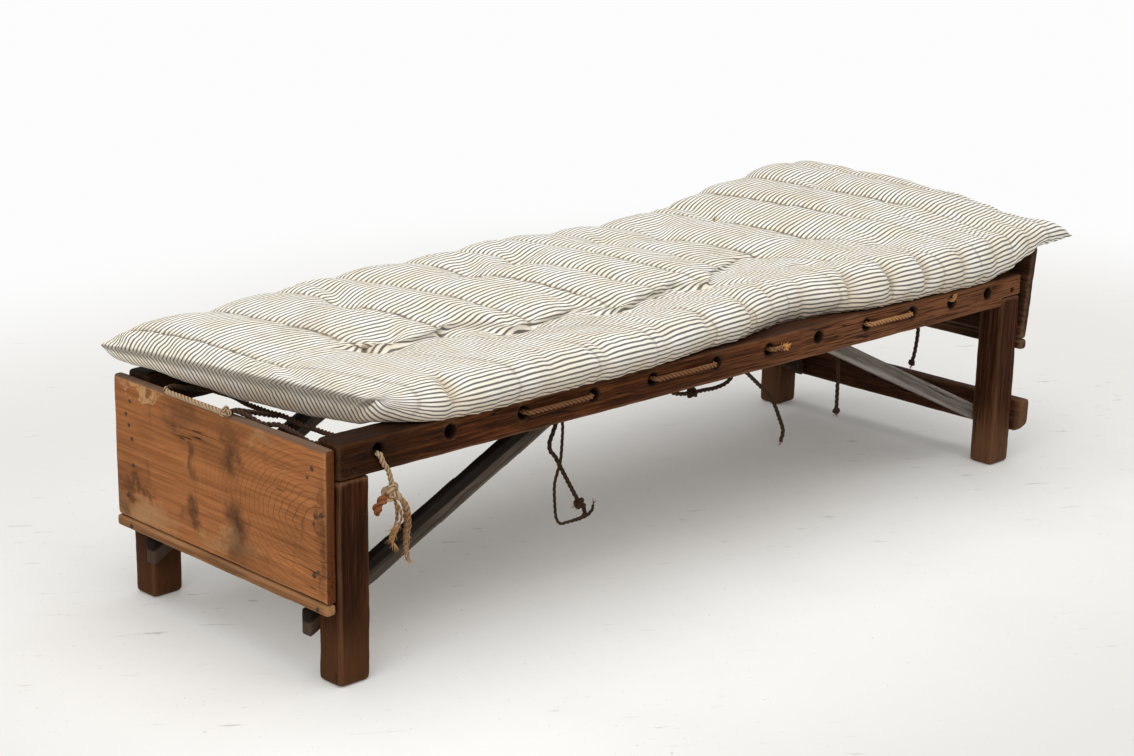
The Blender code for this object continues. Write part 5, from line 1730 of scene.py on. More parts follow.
@dataclass
class Mattress:
    """The loose mattress: two skins of ticking, sewn round the edge, tufted, swollen and creased.

    Tables give a value for places along the bed. U is a share of the length, V one of the cloth's width.
    Bands are a place and the way from there to full strength.
    """

    sizes: BedSizes
    finish: Material
    cells_long: int = 176
    cells_across: int = 64
    end_cells: int = 12
    row_samples: int = 801
    roll_points: int = 48
    edge_points: int = 40
    rise_points: int = 160
    end_share: float = 0.028
    stripes: float = 80.0
    lower_stripes: float = 96.0
    length: float = 1.95
    cloth_width: float = 0.7
    stripe_pitch: float = 0.00915
    foot_place: float = 0.0478
    foot_slope: float = 0.2616
    head_skew: float = 0.010
    row_skew: float = 0.100
    skew_reach: float = 0.34
    rest_height: float = 0.0008
    sag: float = 0.018
    sag_inset: float = 0.03
    edge_sag: float = 0.010
    edge_reach: float = 0.012
    board_rise: float = 0.0575
    board_crest: float = 1.888
    near_climb: float = 1.70
    middle_climb: float = 1.45
    climb_share: float = 0.35
    pinch_place: float = 0.238
    pinch_height: float = 0.468
    pinch_depth: float = 0.016
    pinch_reach: float = 0.008
    pinch_tilt: float = 0.002
    nose_share: float = 0.050
    nose_proud: float = 0.016
    nose_width: float = 0.10
    nose_stretch: float = 1.6
    fan_share: float = 0.13
    fan_held: float = 0.03
    ear_length: float = 0.020
    ear_width: float = 0.05
    ear_reach: float = 0.045
    top_round: float = 0.085
    low_round: float = 0.014
    head_round: float = 0.060
    low_head_round: float = 0.042
    foot_ramp: float = 0.16
    near_round: float = 0.020
    far_round: float = 0.045
    foot_bulge: float = 0.007
    bulge_place: float = 0.012
    roll_width: float = 0.062
    roll_tip: float = 0.012
    roll_tuck: float = math.radians(62.0)
    roll_middle: float = 0.45
    roll_low_power: float = 0.45
    roll_top_power: float = 0.85
    near_line: float = -0.31
    valley_line: float = -0.08
    far_line: float = 0.25
    far_edge: tuple[float, float, float] = (0.325, 0.050, 0.010)
    far_seam_rise: float = 0.043
    far_roll: float = 0.075
    lip_clear: float = 0.05
    lip_most: float = 0.10
    lip_over: tuple[float, float, float] = (0.017, 0.035, 0.03)
    lip_swell: tuple[float, float, float] = (0.006, 0.08, 0.06)
    rise_power: float = 0.80
    lip_power: float = 0.20
    lip_crowd: tuple[float, float] = (2.5, 0.035)
    seam_crowd: tuple[float, float] = (0.8, 0.05)
    row_line: float = 0.15
    rows: tuple[float, ...] = (
        0.045, 0.205, 0.375, 0.51, 0.69, 0.828, 0.96, 1.09, 1.235, 1.42, 1.57, 1.72, 1.87)
    near_overhang: Table = (
        (0.10, -0.040), (0.125, -0.006), (0.16, 0.022), (0.20, 0.032), (0.31, 0.041), (0.65, 0.035),
        (0.94, 0.007), (1.17, -0.036), (1.42, 0.015), (1.74, 0.031), (1.98, 0.040))
    near_seam: Table = (
        (0.10, 0.430), (0.95, 0.4300), (1.17, 0.4266), (1.40, 0.4280), (1.70, 0.4305), (1.78, 0.443),
        (1.84, 0.466), (1.90, 0.487), (1.98, 0.495))
    near_crest: Table = (
        (0.10, 0.486), (0.20, 0.490), (0.60, 0.490), (1.00, 0.492), (1.20, 0.500), (1.40, 0.512),
        (1.60, 0.512), (1.75, 0.514), (1.90, 0.528), (1.98, 0.530))
    foot_low: Table = (
        (-0.34, 0.430), (-0.245, 0.4285), (-0.215, 0.418), (-0.11, 0.415), (0.01, 0.418), (0.13, 0.430),
        (0.22, 0.442), (0.36, 0.452))
    valley: Table = (
        (0.00, 0.490), (0.20, 0.482), (0.35, 0.474), (1.00, 0.472), (1.20, 0.480), (1.45, 0.506),
        (1.65, 0.540), (1.85, 0.562), (1.98, 0.560))
    lip: Table = (
        (0.10, 0.010), (0.25, -0.020), (0.316, -0.064), (0.42, -0.050), (0.50, -0.030), (0.555, -0.110),
        (0.66, -0.096), (0.745, -0.078), (0.800, -0.136), (0.92, -0.108), (1.02, -0.082), (1.071, -0.116),
        (1.15, -0.070), (1.29, -0.045), (1.45, -0.040), (1.98, -0.060))
    lip_strength: Table = (
        (0.20, 0.0), (0.32, 1.0), (1.12, 1.0), (1.30, 0.5), (1.50, 0.0), (1.98, 0.0))
    far_crest: Table = (
        (-0.04, 0.502), (0.02, 0.508), (0.19, 0.512), (0.355, 0.522), (0.60, 0.528), (0.865, 0.534),
        (1.09, 0.525), (1.28, 0.519), (1.44, 0.530), (1.60, 0.554), (1.80, 0.573), (1.98, 0.567))
    tufts: tuple[Point, ...] = (
        (0.316, -0.046, 0.014), (0.566, -0.110, 0.014), (0.808, -0.130, 0.014), (1.071, -0.130, 0.012),
        (1.320, -0.190, 0.010), (1.560, -0.190, 0.010), (0.375, 0.150, 0.008), (0.690, 0.150, 0.010),
        (0.832, 0.149, 0.012), (1.090, 0.150, 0.010), (1.235, 0.150, 0.008), (1.433, 0.180, 0.012),
        (1.750, 0.150, 0.012))
    tuft_reach: float = 0.026
    puff_power: float = 0.42
    row_depths: tuple[float, float, float] = (0.003, 0.011, 0.005)
    row_deepens: Band = (0.36, 0.10)
    row_flattens: Band = (0.88, 0.10)
    row_foot: Band = (0.0, 0.03)
    row_head: Band = (1.0, -0.02)
    row_seam: Band = (0.0, 0.04)
    pleats: Table = (
        (0.232, 0.015), (0.450, 0.003), (0.585, 0.004), (0.740, 0.003), (0.880, 0.004), (1.015, 0.008),
        (1.100, 0.005), (1.189, 0.004), (1.309, 0.013), (1.410, 0.013), (1.519, 0.011), (1.640, 0.008),
        (1.740, 0.005), (1.850, 0.004))
    pleat_reach: float = 0.014
    seam_pleat: float = 0.06
    pleat_rises: Band = (0.0, 0.05)
    pleat_ends: Band = (0.20, -0.12)
    pleat_foot: Band = (0.0, 0.02)
    fold_rises: Band = (0.015, 0.04)
    fold_ends: Band = (0.20, -0.10)
    full_pleat: float = 0.011
    pleat_width: float = 0.008
    pleat_depth: float = 0.008
    thread_places: tuple[tuple[float, float], ...] = (
        (0.832, 0.149), (1.433, 0.180), (1.750, 0.150), (1.206, 0.330))
    thread_ways: tuple[Point, ...] = ((0.5, -0.5, 0.5), (-0.4, -0.6, 0.5))
    thread_length: float = 0.014
    near_ends: Band = (0.46, -0.10)
    far_rises: Band = (0.36, 0.12)
    far_ends: Band = (0.98, -0.08)
    folds: Waves = Waves(11, 9.0, 30.0, 0.0026)
    row_folds: float = 0.4
    ripples: Waves = Waves(23, 62.0, 16.0, 0.0017)
    gathers: Waves = Waves(37, 40.0, 70.0, 0.0024)
    gather_slant: float = 0.2
    gather_width: float = 0.10
    puckers: Waves = Waves(41, 95.0, 20.0, 0.0026)
    pucker_width: float = 0.016
    end_puckers: Waves = Waves(43, 100.0, 12.0, 0.0016)
    end_pucker_width: float = 0.018
    crumples: Waves = Waves(53, 150.0, 130.0, 0.0004)
    pleat_lean: Waves = Waves(61, 34.0, 6.0, 0.005)
    row_pull: float = 0.0040
    row_pull_width: float = 0.032
    quilt_near: float = 0.30
    pull_near: float = 0.25
    fill: float = 0.45
    frames: int = 16
    most_move: float = 0.010
    cloth_settings: ClassVar[dict[str, Any]] = {
        "quality": 4, "mass": 0.25, "tension_stiffness": 18.0, "compression_stiffness": 12.0,
        "shear_stiffness": 8.0, "bending_stiffness": 0.25, "use_pressure": True,
        "uniform_pressure_force": 4.0,
        "shrink_min": -0.03, "vertex_group_mass": "held"}

    def steps(self) -> Array:
        """Shares of the length, closer together at both ends."""
        end = np.linspace(0.0, self.end_share, self.end_cells + 1)
        middle = np.linspace(self.end_share, 1.0 - self.end_share, self.cells_long + 1)
        return np.concatenate((end[:-1], middle, 1.0 - end[-2::-1]))

    def along(self, u: Array, y: Array) -> Array:
        """Place along the bed of a point of the cloth.

        Args:
            u: Share of the length, from foot to head.
            y: Place across the bed.

        Returns:
            The place.
        """
        foot = self.foot_place - self.foot_slope * y
        inset = self.head_skew * (y / self.cloth_width + 0.5)
        head = self.sizes.frame_length + self.sizes.head_overhang - inset
        skew = self.row_skew * np.clip(y / self.skew_reach, -1.0, 1.0) * np.sin(np.pi * u)
        return foot + (head - foot) * u - skew

    def climb(self, x: Array, v: Array) -> Array:
        """Rise of the underside where it runs up onto the head board."""
        start = self.near_climb + (self.middle_climb - self.near_climb) * ease(v / self.climb_share)
        return self.board_rise * ease((x - start) / (self.board_crest - start))

    def rail_face(self, x: Array) -> Array:
        """Distance of a rail's outer face from the centre line."""
        return self.sizes.foot_width / 2 + x * math.tan(self.sizes.taper)

    def cell_share(self, u: Array) -> Array:
        """Place between two tuft rows, from zero at one row to one at the next."""
        fine = np.linspace(0.0, 1.0, self.row_samples)
        marks = np.interp(self.rows, self.along(fine, np.full(len(fine), self.row_line)), fine)
        ends = np.concatenate(([-marks[0]], marks, [2.0 - marks[-1]]))
        return np.interp(u, ends, np.arange(len(ends)))

    @staticmethod
    def rounding(away: Array, width: float) -> Array:
        """A quarter round, from zero at an edge to one at a width in from it."""
        return np.sqrt(1.0 - (1.0 - np.clip(away / width, 0.0, 1.0)) ** 2)

    @staticmethod
    def ramp(place: Array, band: Band) -> Array:
        """A smooth step from zero at a band's place to one at its end."""
        return ease((place - band[0]) / band[1])

    @staticmethod
    def read(table: Table, x: float) -> float:
        """One value of a table."""
        return float(glide(np.array(x), table))

    def near_profile(self, u: float, x: float) -> tuple[Array, Array]:
        """The near roll's section, from the seam out and over to its top.

        Args:
            u: Share of the length.
            x: Place along the bed of the near edge.

        Returns:
            Places across and heights.
        """
        out = float(self.rounding(np.array(u), self.nose_share))
        full = float(self.rail_face(np.array(x)) + glide(np.array(x), self.near_overhang))
        edge = -(self.pinch_place + (full - self.pinch_place) * out)
        top = self.read(self.near_crest, x)
        low = self.pinch_height + (self.read(self.near_seam, x) - self.pinch_height) * out
        wide = self.roll_tip + (self.roll_width - self.roll_tip) * out
        middle = low + (top - low) * self.roll_middle
        angle = np.linspace(-self.roll_tuck, math.pi / 2, self.roll_points)
        deep = (middle - low) / math.sin(self.roll_tuck)
        power = np.where(angle < 0.0, self.roll_low_power, self.roll_top_power)
        y = edge + wide * (1.0 - np.maximum(np.cos(angle), 0.0) ** power)
        return y, middle + np.where(angle < 0.0, deep, top - middle) * np.sin(angle)

    def section(self, u: float) -> Array:
        """The upper skin's section, from the near seam over the top to the far seam.

        Args:
            u: Share of the length.

        Returns:
            Rows of place across, height and share of the cloth's width, close together at the valley's lip.
        """
        near_x, valley_x, far_x = (float(self.along(np.array(u), np.array(y)))
                                   for y in (self.near_line, self.valley_line, self.far_line))
        near_y, near_z = self.near_profile(u, near_x)
        start, widening, waist = self.far_edge
        far_edge = start + widening * u - waist * math.sin(math.pi * u)
        far_top = self.read(self.far_crest, far_x)
        far_base = self.sizes.rail_top + self.rest_height + float(self.climb(np.array(far_x), np.array(1.0)))
        angle = np.linspace(math.pi / 2, 0.0, self.edge_points)
        far_y = far_edge - self.far_roll * (1.0 - np.cos(angle))
        far_z = far_base + self.far_seam_rise + (far_top - far_base - self.far_seam_rise) * np.sin(angle)
        lip = min(max(self.read(self.lip, valley_x), near_y[-1] + self.lip_clear), self.lip_most)
        strength = self.read(self.lip_strength, valley_x)
        deep = self.read(self.valley, valley_x)
        t = np.linspace(0.0, 1.0, self.edge_points)[1:]
        down_y = near_y[-1] + (lip - near_y[-1]) * t
        down_z = near_z[-1] + (deep - near_z[-1]) * ease(t)
        t = np.linspace(0.0, 1.0, self.rise_points)[1:-1]
        over, over_place, over_width = self.lip_over
        swell, swell_place, swell_width = self.lip_swell
        up_y = lip + (far_y[0] - lip) * t - strength * over * hump(t - over_place, over_width)
        power = self.rise_power - self.lip_power * strength
        up_z = deep + (far_top - deep) * np.sin(np.pi / 2 * t ** power)
        up_z = up_z + strength * swell * hump(t - swell_place, swell_width)
        y = np.concatenate((near_y, down_y, up_y, far_y))
        z = np.concatenate((near_z, down_z, up_z, far_z))
        lengths = np.concatenate(([0.0], np.cumsum(np.hypot(np.diff(y), np.diff(z)))))
        crowd = 1.0
        for middle, (most, width) in ((lip, self.lip_crowd), (near_y[0], self.seam_crowd)):
            crowd = crowd + most * hump(y - middle, width)
        count = np.concatenate(([0.0], np.cumsum(np.diff(lengths) * (crowd[1:] + crowd[:-1]) / 2)))
        share = np.interp(np.linspace(0.0, count[-1], self.cells_across + 1), count, lengths) / lengths[-1]
        held = self.fan_held
        fan = np.where(share < self.fan_share, held * share / self.fan_share,
                       held + (1.0 - held) * (share - self.fan_share) / (1.0 - self.fan_share))
        place = (fan + (share - fan) * float(self.rounding(np.array(u), self.nose_share))) * lengths[-1]
        return np.stack((np.interp(place, lengths, y), np.interp(place, lengths, z), share), axis=-1)

    def skins(self) -> tuple[Array, Array, Array]:
        """The grids of the upper and the lower skin, before creases.

        Returns:
            Two arrays of points, by place along and across, and each point's share of the cloth's width.
        """
        u = self.steps()
        y, z, v = np.moveaxis(np.array([self.section(float(one)) for one in u]), -1, 0)
        u = np.broadcast_to(u[:, None], y.shape)
        foot_away, head_away = u * self.length, (1.0 - u) * self.length
        foot_seam = self.pinch_height + self.pinch_tilt * v
        head_seam = z[-1:, :1] + (z[-1:, -1:] - z[-1:, :1]) * v
        seam = np.where(u < 0.5, foot_seam, head_seam)
        rise = self.rounding(foot_away, self.top_round) * self.rounding(head_away, self.head_round)
        nose_way = np.clip(u / self.nose_share / self.nose_stretch, 0.0, 1.0)
        nose = self.nose_proud * hump(v, self.nose_width) * np.sin(np.pi * nose_way)
        pinch = self.pinch_depth * hump(foot_away, self.pinch_reach) * hump(v, self.nose_width)
        ear = self.ear_length * hump(v, self.ear_width) * hump(head_away, self.ear_reach)
        top = np.stack((self.along(u, y) - nose + pinch + ear, y, seam + (z - seam) * rise), axis=-1)
        low_y = y[:, :1] + (y[:, -1:] - y[:, :1]) * v
        low_x = self.along(u, low_y)
        near_in = self.rounding(low_y - low_y[:, :1], self.near_round)
        far_in = self.rounding(low_y[:, -1:] - low_y, self.far_round)
        floor = self.underside(u, v, low_x, low_y)
        edge = z[:, :1] + (z[:, -1:] - z[:, :1]) * (v > 0.5)
        floor = edge + (floor - edge) * near_in * far_in
        fall = self.rounding(foot_away, self.low_round) * self.rounding(head_away, self.low_head_round)
        bulge = self.foot_bulge * hump(foot_away - self.bulge_place, self.bulge_place) * near_in * far_in
        bottom = np.stack((low_x - bulge - nose, low_y, seam + (floor - seam) * fall), axis=-1)
        bottom[0], bottom[-1] = top[0], top[-1]
        bottom[:, 0], bottom[:, -1] = top[:, 0], top[:, -1]
        return top, bottom, v

    def underside(self, u: Array, v: Array, x: Array, y: Array) -> Array:
        """Height of the lower skin, which rests on the rails and sags between them.

        Args:
            u: Shares of the length.
            v: Shares of the cloth's width.
            x: Places along the bed.
            y: Places across the bed.

        Returns:
            The heights.
        """
        inner = self.rail_face(x) - self.sizes.side_thickness
        hollow = self.sag * np.maximum(0.0, 1.0 - (y / (inner - self.sag_inset)) ** 2)
        at_edge = self.edge_sag * ease((inner - np.abs(y)) / self.edge_reach)
        hollow = np.maximum(hollow, at_edge) * np.sin(np.pi * u)
        floor = self.sizes.rail_top + self.rest_height + self.climb(x, v) - hollow * (x < self.middle_climb)
        lifted = glide(y, self.foot_low)
        return lifted + (floor - lifted) * ease(u * self.length / self.foot_ramp)

    def tuft(self, top: Array, v: Array) -> Array:
        """Draw the upper skin down at its rows, tufts and pleats.

        Args:
            top: The upper skin's points.
            v: Their shares of the cloth's width.

        Returns:
            The tufted points.
        """
        u = self.steps()[:, None]
        normal = unit(np.cross(np.gradient(top, axis=0), np.gradient(top, axis=1)))
        puff = np.abs(np.sin(np.pi * (self.cell_share(u) % 1.0))) ** self.puff_power - 1.0
        near, more, less = self.row_depths
        depth = near + more * self.ramp(v, self.row_deepens) - less * self.ramp(v, self.row_flattens)
        ends = self.ramp(u, self.row_foot) * self.ramp(u, self.row_head)
        lift = puff * depth * (ends * self.ramp(v, self.row_seam))
        for x, y, deep in self.tufts:
            away = np.hypot(top[..., 0] - x, top[..., 1] - y)
            lift = lift - deep * np.exp(-away / self.tuft_reach)
        rising = self.seam_pleat + (1.0 - self.seam_pleat) * self.ramp(v, self.pleat_rises)
        reach = self.ramp(v, self.pleat_ends) * rising * self.ramp(u, self.pleat_foot)
        for x, deep in self.pleats:
            lift = lift - deep * np.exp(-np.abs(top[..., 0] - x) / self.pleat_reach) * reach
        return top + normal * lift[..., None]

    @staticmethod
    def corners(grid: Array) -> Array:
        """The four corners of each cell of a grid, in order round the cell."""
        return np.stack((grid[:-1, :-1], grid[1:, :-1], grid[1:, 1:], grid[:-1, 1:]), axis=2)

    def both_sides(self, upper: Array, lower: Array, size: int) -> Array:
        """The corners of the cells of both skins, the lower ones turned over."""
        turned = self.corners(lower)[:, :, ::-1]
        return np.vstack((self.corners(upper).reshape(-1, size), turned.reshape(-1, size)))

    def sew(self, top: Array, bottom: Array, v: Array) -> Object:
        """Join the two skins along their edge.

        Args:
            top: The upper skin's points.
            bottom: The lower skin's points.
            v: Their shares of the cloth's width.

        Returns:
            The mattress, with its map of the cloth.
        """
        rows, columns = v.shape
        upper = np.arange(rows * columns).reshape(rows, columns)
        lower = upper.copy()
        inner = lower[1:-1, 1:-1]
        inner[...] = rows * columns + np.arange(inner.size).reshape(inner.shape)
        flat = top.reshape(-1, 3)
        points = np.vstack((flat, bottom[1:-1, 1:-1].reshape(-1, 3))) + (self.sizes.origin_shift, 0.0, 0.0)
        u = np.broadcast_to(self.steps()[:, None], v.shape)
        gaps = np.linalg.norm(np.diff(bottom, axis=1), axis=2)
        reach = np.concatenate((np.zeros((rows, 1)), np.cumsum(gaps, axis=1)), axis=1)
        lower_v = self.stripes + self.lower_stripes - reach / self.stripe_pitch
        cloth = self.both_sides(np.stack((u, v * self.stripes), axis=-1), np.stack((u, lower_v), axis=-1), 2)
        mesh = bpy.data.meshes.new(MATTRESS_NAME)
        mesh.from_pydata(points.tolist(), [], self.both_sides(upper, lower, 4).tolist())
        mesh.uv_layers.new(name="cloth").data.foreach_set("uv", cloth.astype(np.float32).ravel())
        mesh.shade_smooth()
        mesh.materials.append(self.finish)
        piece = link_object(MATTRESS_NAME, mesh)
        held = piece.vertex_groups.new(name="held")
        tied = [int(np.argmin(np.hypot(flat[:, 0] - x, flat[:, 1] - y))) for x, y, _ in self.tufts]
        held.add([int(i) for i in np.unique(lower)] + tied, 1.0, "REPLACE")
        return piece

    def swell(self, piece: Object) -> None:
        """Let the upper skin swell and crease between its tufts, by cloth simulation.

        Args:
            piece: The sewn mattress, whose mesh takes the result.
        """
        cloth = piece.modifiers.new("swell", "CLOTH")
        for key, setting in self.cloth_settings.items():
            setattr(cloth.settings, key, setting)
        cloth.settings.effector_weights.gravity = 0.0
        cloth.collision_settings.use_collision = False
        cloth.point_cache.frame_start = 1
        cloth.point_cache.frame_end = self.frames
        scene = bpy.context.scene
        for frame in range(1, self.frames + 1):
            scene.frame_set(frame)
        settled = piece.evaluated_get(bpy.context.evaluated_depsgraph_get())
        before, after = mesh_points(piece.data), mesh_points(settled.to_mesh())
        settled.to_mesh_clear()
        piece.modifiers.remove(cloth)
        scene.frame_set(1)
        move = after - before
        size = np.linalg.norm(move, axis=1, keepdims=True)
        LOG.info("cloth moved up to %.1f mm, %.1f mm on average", 1000 * size.max(), 1000 * size.mean())
        held = np.tanh(size / self.most_move) * self.most_move
        move_points(piece.data, before + move * held / np.maximum(size, 1e-9))

    def refine(self, piece: Object) -> None:
        """Subdivide the cloth once, in place."""
        step = piece.modifiers.new("fine", "SUBSURF")
        step.levels = step.render_levels = 1
        old, piece_mesh = piece.data, applied_mesh(piece)
        piece.modifiers.remove(step)
        piece.data = piece_mesh
        bpy.data.meshes.remove(old)
        piece.data.name = MATTRESS_NAME
        piece.vertex_groups.clear()

    @staticmethod
    def cloth_places(mesh: Mesh) -> tuple[Array, Array]:
        """Each point's place on the map of the cloth.

        Args:
            mesh: The mattress's mesh.

        Returns:
            The U and the V of the points.
        """
        loops = np.zeros(len(mesh.loops), np.int32)
        mesh.loops.foreach_get("vertex_index", loops)
        cloth = np.zeros(len(mesh.loops) * 2, np.float32)
        mesh.uv_layers["cloth"].data.foreach_get("uv", cloth)
        own = np.zeros((len(mesh.vertices), 2))
        own[loops[::-1]] = cloth.reshape(-1, 2)[::-1]
        return own[:, 0], own[:, 1]

    def crease(self, piece: Object) -> None:
        """Press small folds and puckers into the fine cloth.

        Args:
            piece: The subdivided mattress.
        """
        mesh = piece.data
        points = mesh_points(mesh)
        normals = np.zeros(points.size, np.float32)
        mesh.vertex_normals.foreach_get("vector", normals)
        u, stripe = self.cloth_places(mesh)
        v, length, across = stripe / self.stripes, u * self.length, stripe * self.stripe_pitch
        upper = v <= 1.0
        near_zone = self.ramp(v, self.near_ends) * upper
        far_zone = self.ramp(v, self.far_rises) * self.ramp(v, self.far_ends) * upper
        rows = self.cell_share(u)
        row_away = np.abs(rows - np.round(rows))
        seam_away = np.minimum(across, np.abs(self.stripes * self.stripe_pitch - across))
        end_away = np.minimum(length, self.length - length)
        lift = self.folds.at(length, across) * far_zone * (self.row_folds + row_away)
        lift += self.ripples.at(length, across) * near_zone
        slanted = length + across * self.gather_slant
        lift += self.gathers.at(slanted, across) * far_zone * np.exp(-row_away / self.gather_width)
        lift += self.puckers.at(length, across) * np.exp(-seam_away / self.pucker_width)
        lift += self.end_puckers.at(across, length) * np.exp(-end_away / self.end_pucker_width)
        lift += self.crumples.at(length, across)
        pulled = far_zone + self.pull_near * near_zone
        lift -= self.row_pull * np.exp(-row_away / self.row_pull_width) * pulled
        leaning = points[:, 0] - self.sizes.origin_shift + self.pleat_lean.at(v, length)
        fold = np.zeros(len(points))
        for place, deep in self.pleats:
            share = np.exp(-np.abs(leaning - place) / self.pleat_width)
            fold = np.maximum(fold, min(deep / self.full_pleat, 1.0) * share)
        fold = fold * self.ramp(v, self.fold_ends) * self.ramp(v, self.fold_rises) * upper
        lift -= self.pleat_depth * fold
        quilt = far_zone + self.quilt_near * near_zone
        for label, values in (("row", rows), ("quilt", quilt), ("fold", fold)):
            mark_points(mesh, label, values)
        move_points(mesh, points + normals.reshape(-1, 3) * lift[:, None])

    def thread_roots(self, piece: Object) -> list[tuple[Point, Point, float]]:
        """Where tuft threads come out of the upper skin.

        Args:
            piece: The finished mattress.

        Returns:
            Place, way and reach of each root.
        """
        points = mesh_points(piece.data)
        points = points[points[:, 2] > self.pinch_height]
        roots = []
        for spot in self.sizes.row((x, y, 0.0) for x, y in self.thread_places):
            top = points[np.argmin(np.hypot(points[:, 0] - spot[0], points[:, 1] - spot[1]))]
            roots += [(top, way, self.thread_length) for way in self.thread_ways]
        return roots

    def build(self, fibres: Wisps, threads: Material) -> None:
        """Make the mattress.

        Args:
            fibres: What grows the tuft threads.
            threads: Finish of the threads.
        """
        top, bottom, shares = self.skins()
        piece = self.sew(self.tuft(top, shares), bottom, shares)
        self.swell(piece)
        self.refine(piece)
        self.crease(piece)
        settle_piece(piece, "mattress", "ticking", "mattress_pad")
        grown = fibres.grow("tuft_threads", self.thread_roots(piece), count=16, seed=97, finish=threads)
        settle_piece(grown, "mattress", "ticking")


@dataclass
class Lacing:
    """The rope laced through the rails in three lengths, its knots and hitches, and the panel's rope."""

    sizes: BedSizes
    nodes: dict[str, Object]
    brown: Material
    tan: Material
    pale: Material
    dark: Material
    step: float = 0.003
    eased_rounds: int = 3
    panel_rounds: int = 2
    pitch_share: float = 3.0
    stub_length: float = 0.026
    stub_fray: float = 0.016
    knot_size: Point = (0.029, 0.028, 0.021)
    knot_rope: float = 0.0085
    panel_ends: tuple[float, float] = (0.150, -0.024)
    panel_splay: float = 0.008
    panel_front: float = -0.0203
    panel_crest: float = 0.003
    panel_knot: Point = (-0.002, -0.002, 0.006)
    panel_knot_way: Point = (0.5, 1.0, -0.2)
    panel_knot_size: Point = (0.024, 0.022, 0.018)
    panel_knot_rope: float = 0.0075
    slack_route: tuple[Point, ...] = (
        (0.030, -0.232, 0.402), (0.022, -0.190, 0.405), (0.012, -0.130, 0.416), (0.002, -0.075, 0.418))
    slack_end: tuple[float, float] = (-0.012, 0.009)
    cord_gap: float = 0.0003
    hitch_rope: float = 0.005
    hitch_lay: float = 0.016
    hitch_out: float = 0.0026
    hitch_pitch: float = 0.0052
    hitch_turns: float = 3.0
    hitches: tuple[Point, ...] = (
        (0.5695, -0.2014, 0.400), (0.5695, -0.2154, 0.400), (1.0480, -0.2189, 0.400),
        (1.0480, -0.2069, 0.400), (0.8912, -0.2158, 0.400), (1.3428, -0.2249, 0.400),
        (1.6183, -0.2304, 0.400))

    def lay(self, name: str, routes: Sequence[Array], finish: Material, slot: str, *nodes: str,
            diameter: float = 0.010) -> Object:
        """Lay rope along one or more lines as one piece."""
        rope = RopeLay(diameter, pitch=diameter * self.pitch_share)
        return rope.piece(name, finish, slot, [(route,) for route in routes], *nodes)

    def lengths(self) -> tuple[list[Array], list[Array], list[Array]]:
        """The corners of the lacing's three lengths.

        Returns:
            The corners of the foot, middle and head length.
        """
        size = self.sizes
        tail_end = size.rim(1, 0, 0, -1)
        started = tail_end[1] + (tail_end[0] - tail_end[1]) * self.cord_gap / size.side_thickness
        foot = [started, tail_end[0]] + size.outer_run(-1, 0)
        stub_x = size.hole_x(6) + size.hole_diameter / 2 + self.stub_length
        stub = size.side_point(1, stub_x, -size.rope_bend, size.hole_z)
        middle = size.axis(-1, 2) + size.outer_run(1, 2) + size.outer_run(-1, 3) + size.outer_run(1, 4)
        middle += size.outer_run(-1, 5) + size.rim(1, 6, 1) + [stub]
        riser = size.side_point(1, size.hole_x(10), -size.rope_bend, size.rail_top - size.rope_diameter / 2)
        head = size.axis(-1, 8) + size.outer_run(1, 8) + size.outer_run(-1, 9)
        head += size.rim(1, 10, 0, 1) + [riser]
        return foot, middle, head

    def panel_route(self) -> list[list[Array]]:
        """The corners of the rope over the foot panel: its two ties and the stretch along the panel's face.

        Returns:
            The corners of the far tie, the front stretch and the near tie.
        """
        size = self.sizes
        near_end, far_end = size.rim(1, 0, 0, -1)[0], size.rim(-1, 0, 1)[0]
        lift = size.panel_top + self.cord_gap + size.rope_diameter / 2
        proud = (size.rope_diameter / 2 + self.cord_gap) * math.sqrt(0.5)
        passes = []
        for y, way in zip(self.panel_ends, (1, -1)):
            share = (y + way * self.panel_splay - near_end[1]) / (far_end[1] - near_end[1])
            tie = near_end + (far_end - near_end) * share
            tie[0] -= size.rope_diameter / 2 + self.cord_gap
            half_way = np.array((tie[0] / 2, tie[1], (tie[2] + lift) / 2))
            inside = np.array((0.0, tie[1], lift))
            crest = np.array((self.panel_front + self.panel_crest, y + way * self.panel_splay / 2, lift))
            turned = np.array((self.panel_front - proud, y - way * self.panel_splay, size.panel_top + proud))
            passes.append([tie, half_way, inside, crest, turned])
        far, near = passes
        return [far, [far[-2], far[-1], near[-1], near[-2]], near]

    def build_panel_rope(self) -> None:
        """Lash the rope over the foot panel, and knot it."""
        size = self.sizes
        far_tie, front, near_tie = (eased_line(size.row(corners), self.step, self.panel_rounds)
                                    for corners in self.panel_route())
        self.lay("panel_rope_front", [front], self.pale, "pale_rope", "panel_rope")
        # The ties, part of the panel's pale rope, take the dark cord finish: painted shade where they run in
        # shadow behind the panel.
        self.lay("panel_rope_ties", [far_tie, near_tie], self.dark, "pale_rope")
        corner = np.array((self.panel_front, self.panel_ends[1], size.panel_top))
        centre = size.row([corner + self.panel_knot])[0]
        knot = trefoil_line(centre, self.panel_knot_way, self.panel_knot_size, self.panel_knot_rope)
        self.lay("panel_rope_knot", [knot], self.pale, "pale_rope", diameter=self.panel_knot_rope)
        aside, above = self.slack_end
        end = (self.panel_front / 2, self.panel_ends[1] + aside, size.panel_top + above)
        slack = smooth_line(size.row(self.slack_route + (end,)), self.step)
        slack = wavy_line(slack, sway=0.005, wave=0.035, seed=8)
        # The slack end takes the dark cord finish too: painted shade between the panel and the mattress.
        self.lay("panel_rope_slack", [slack], self.dark, "pale_rope")

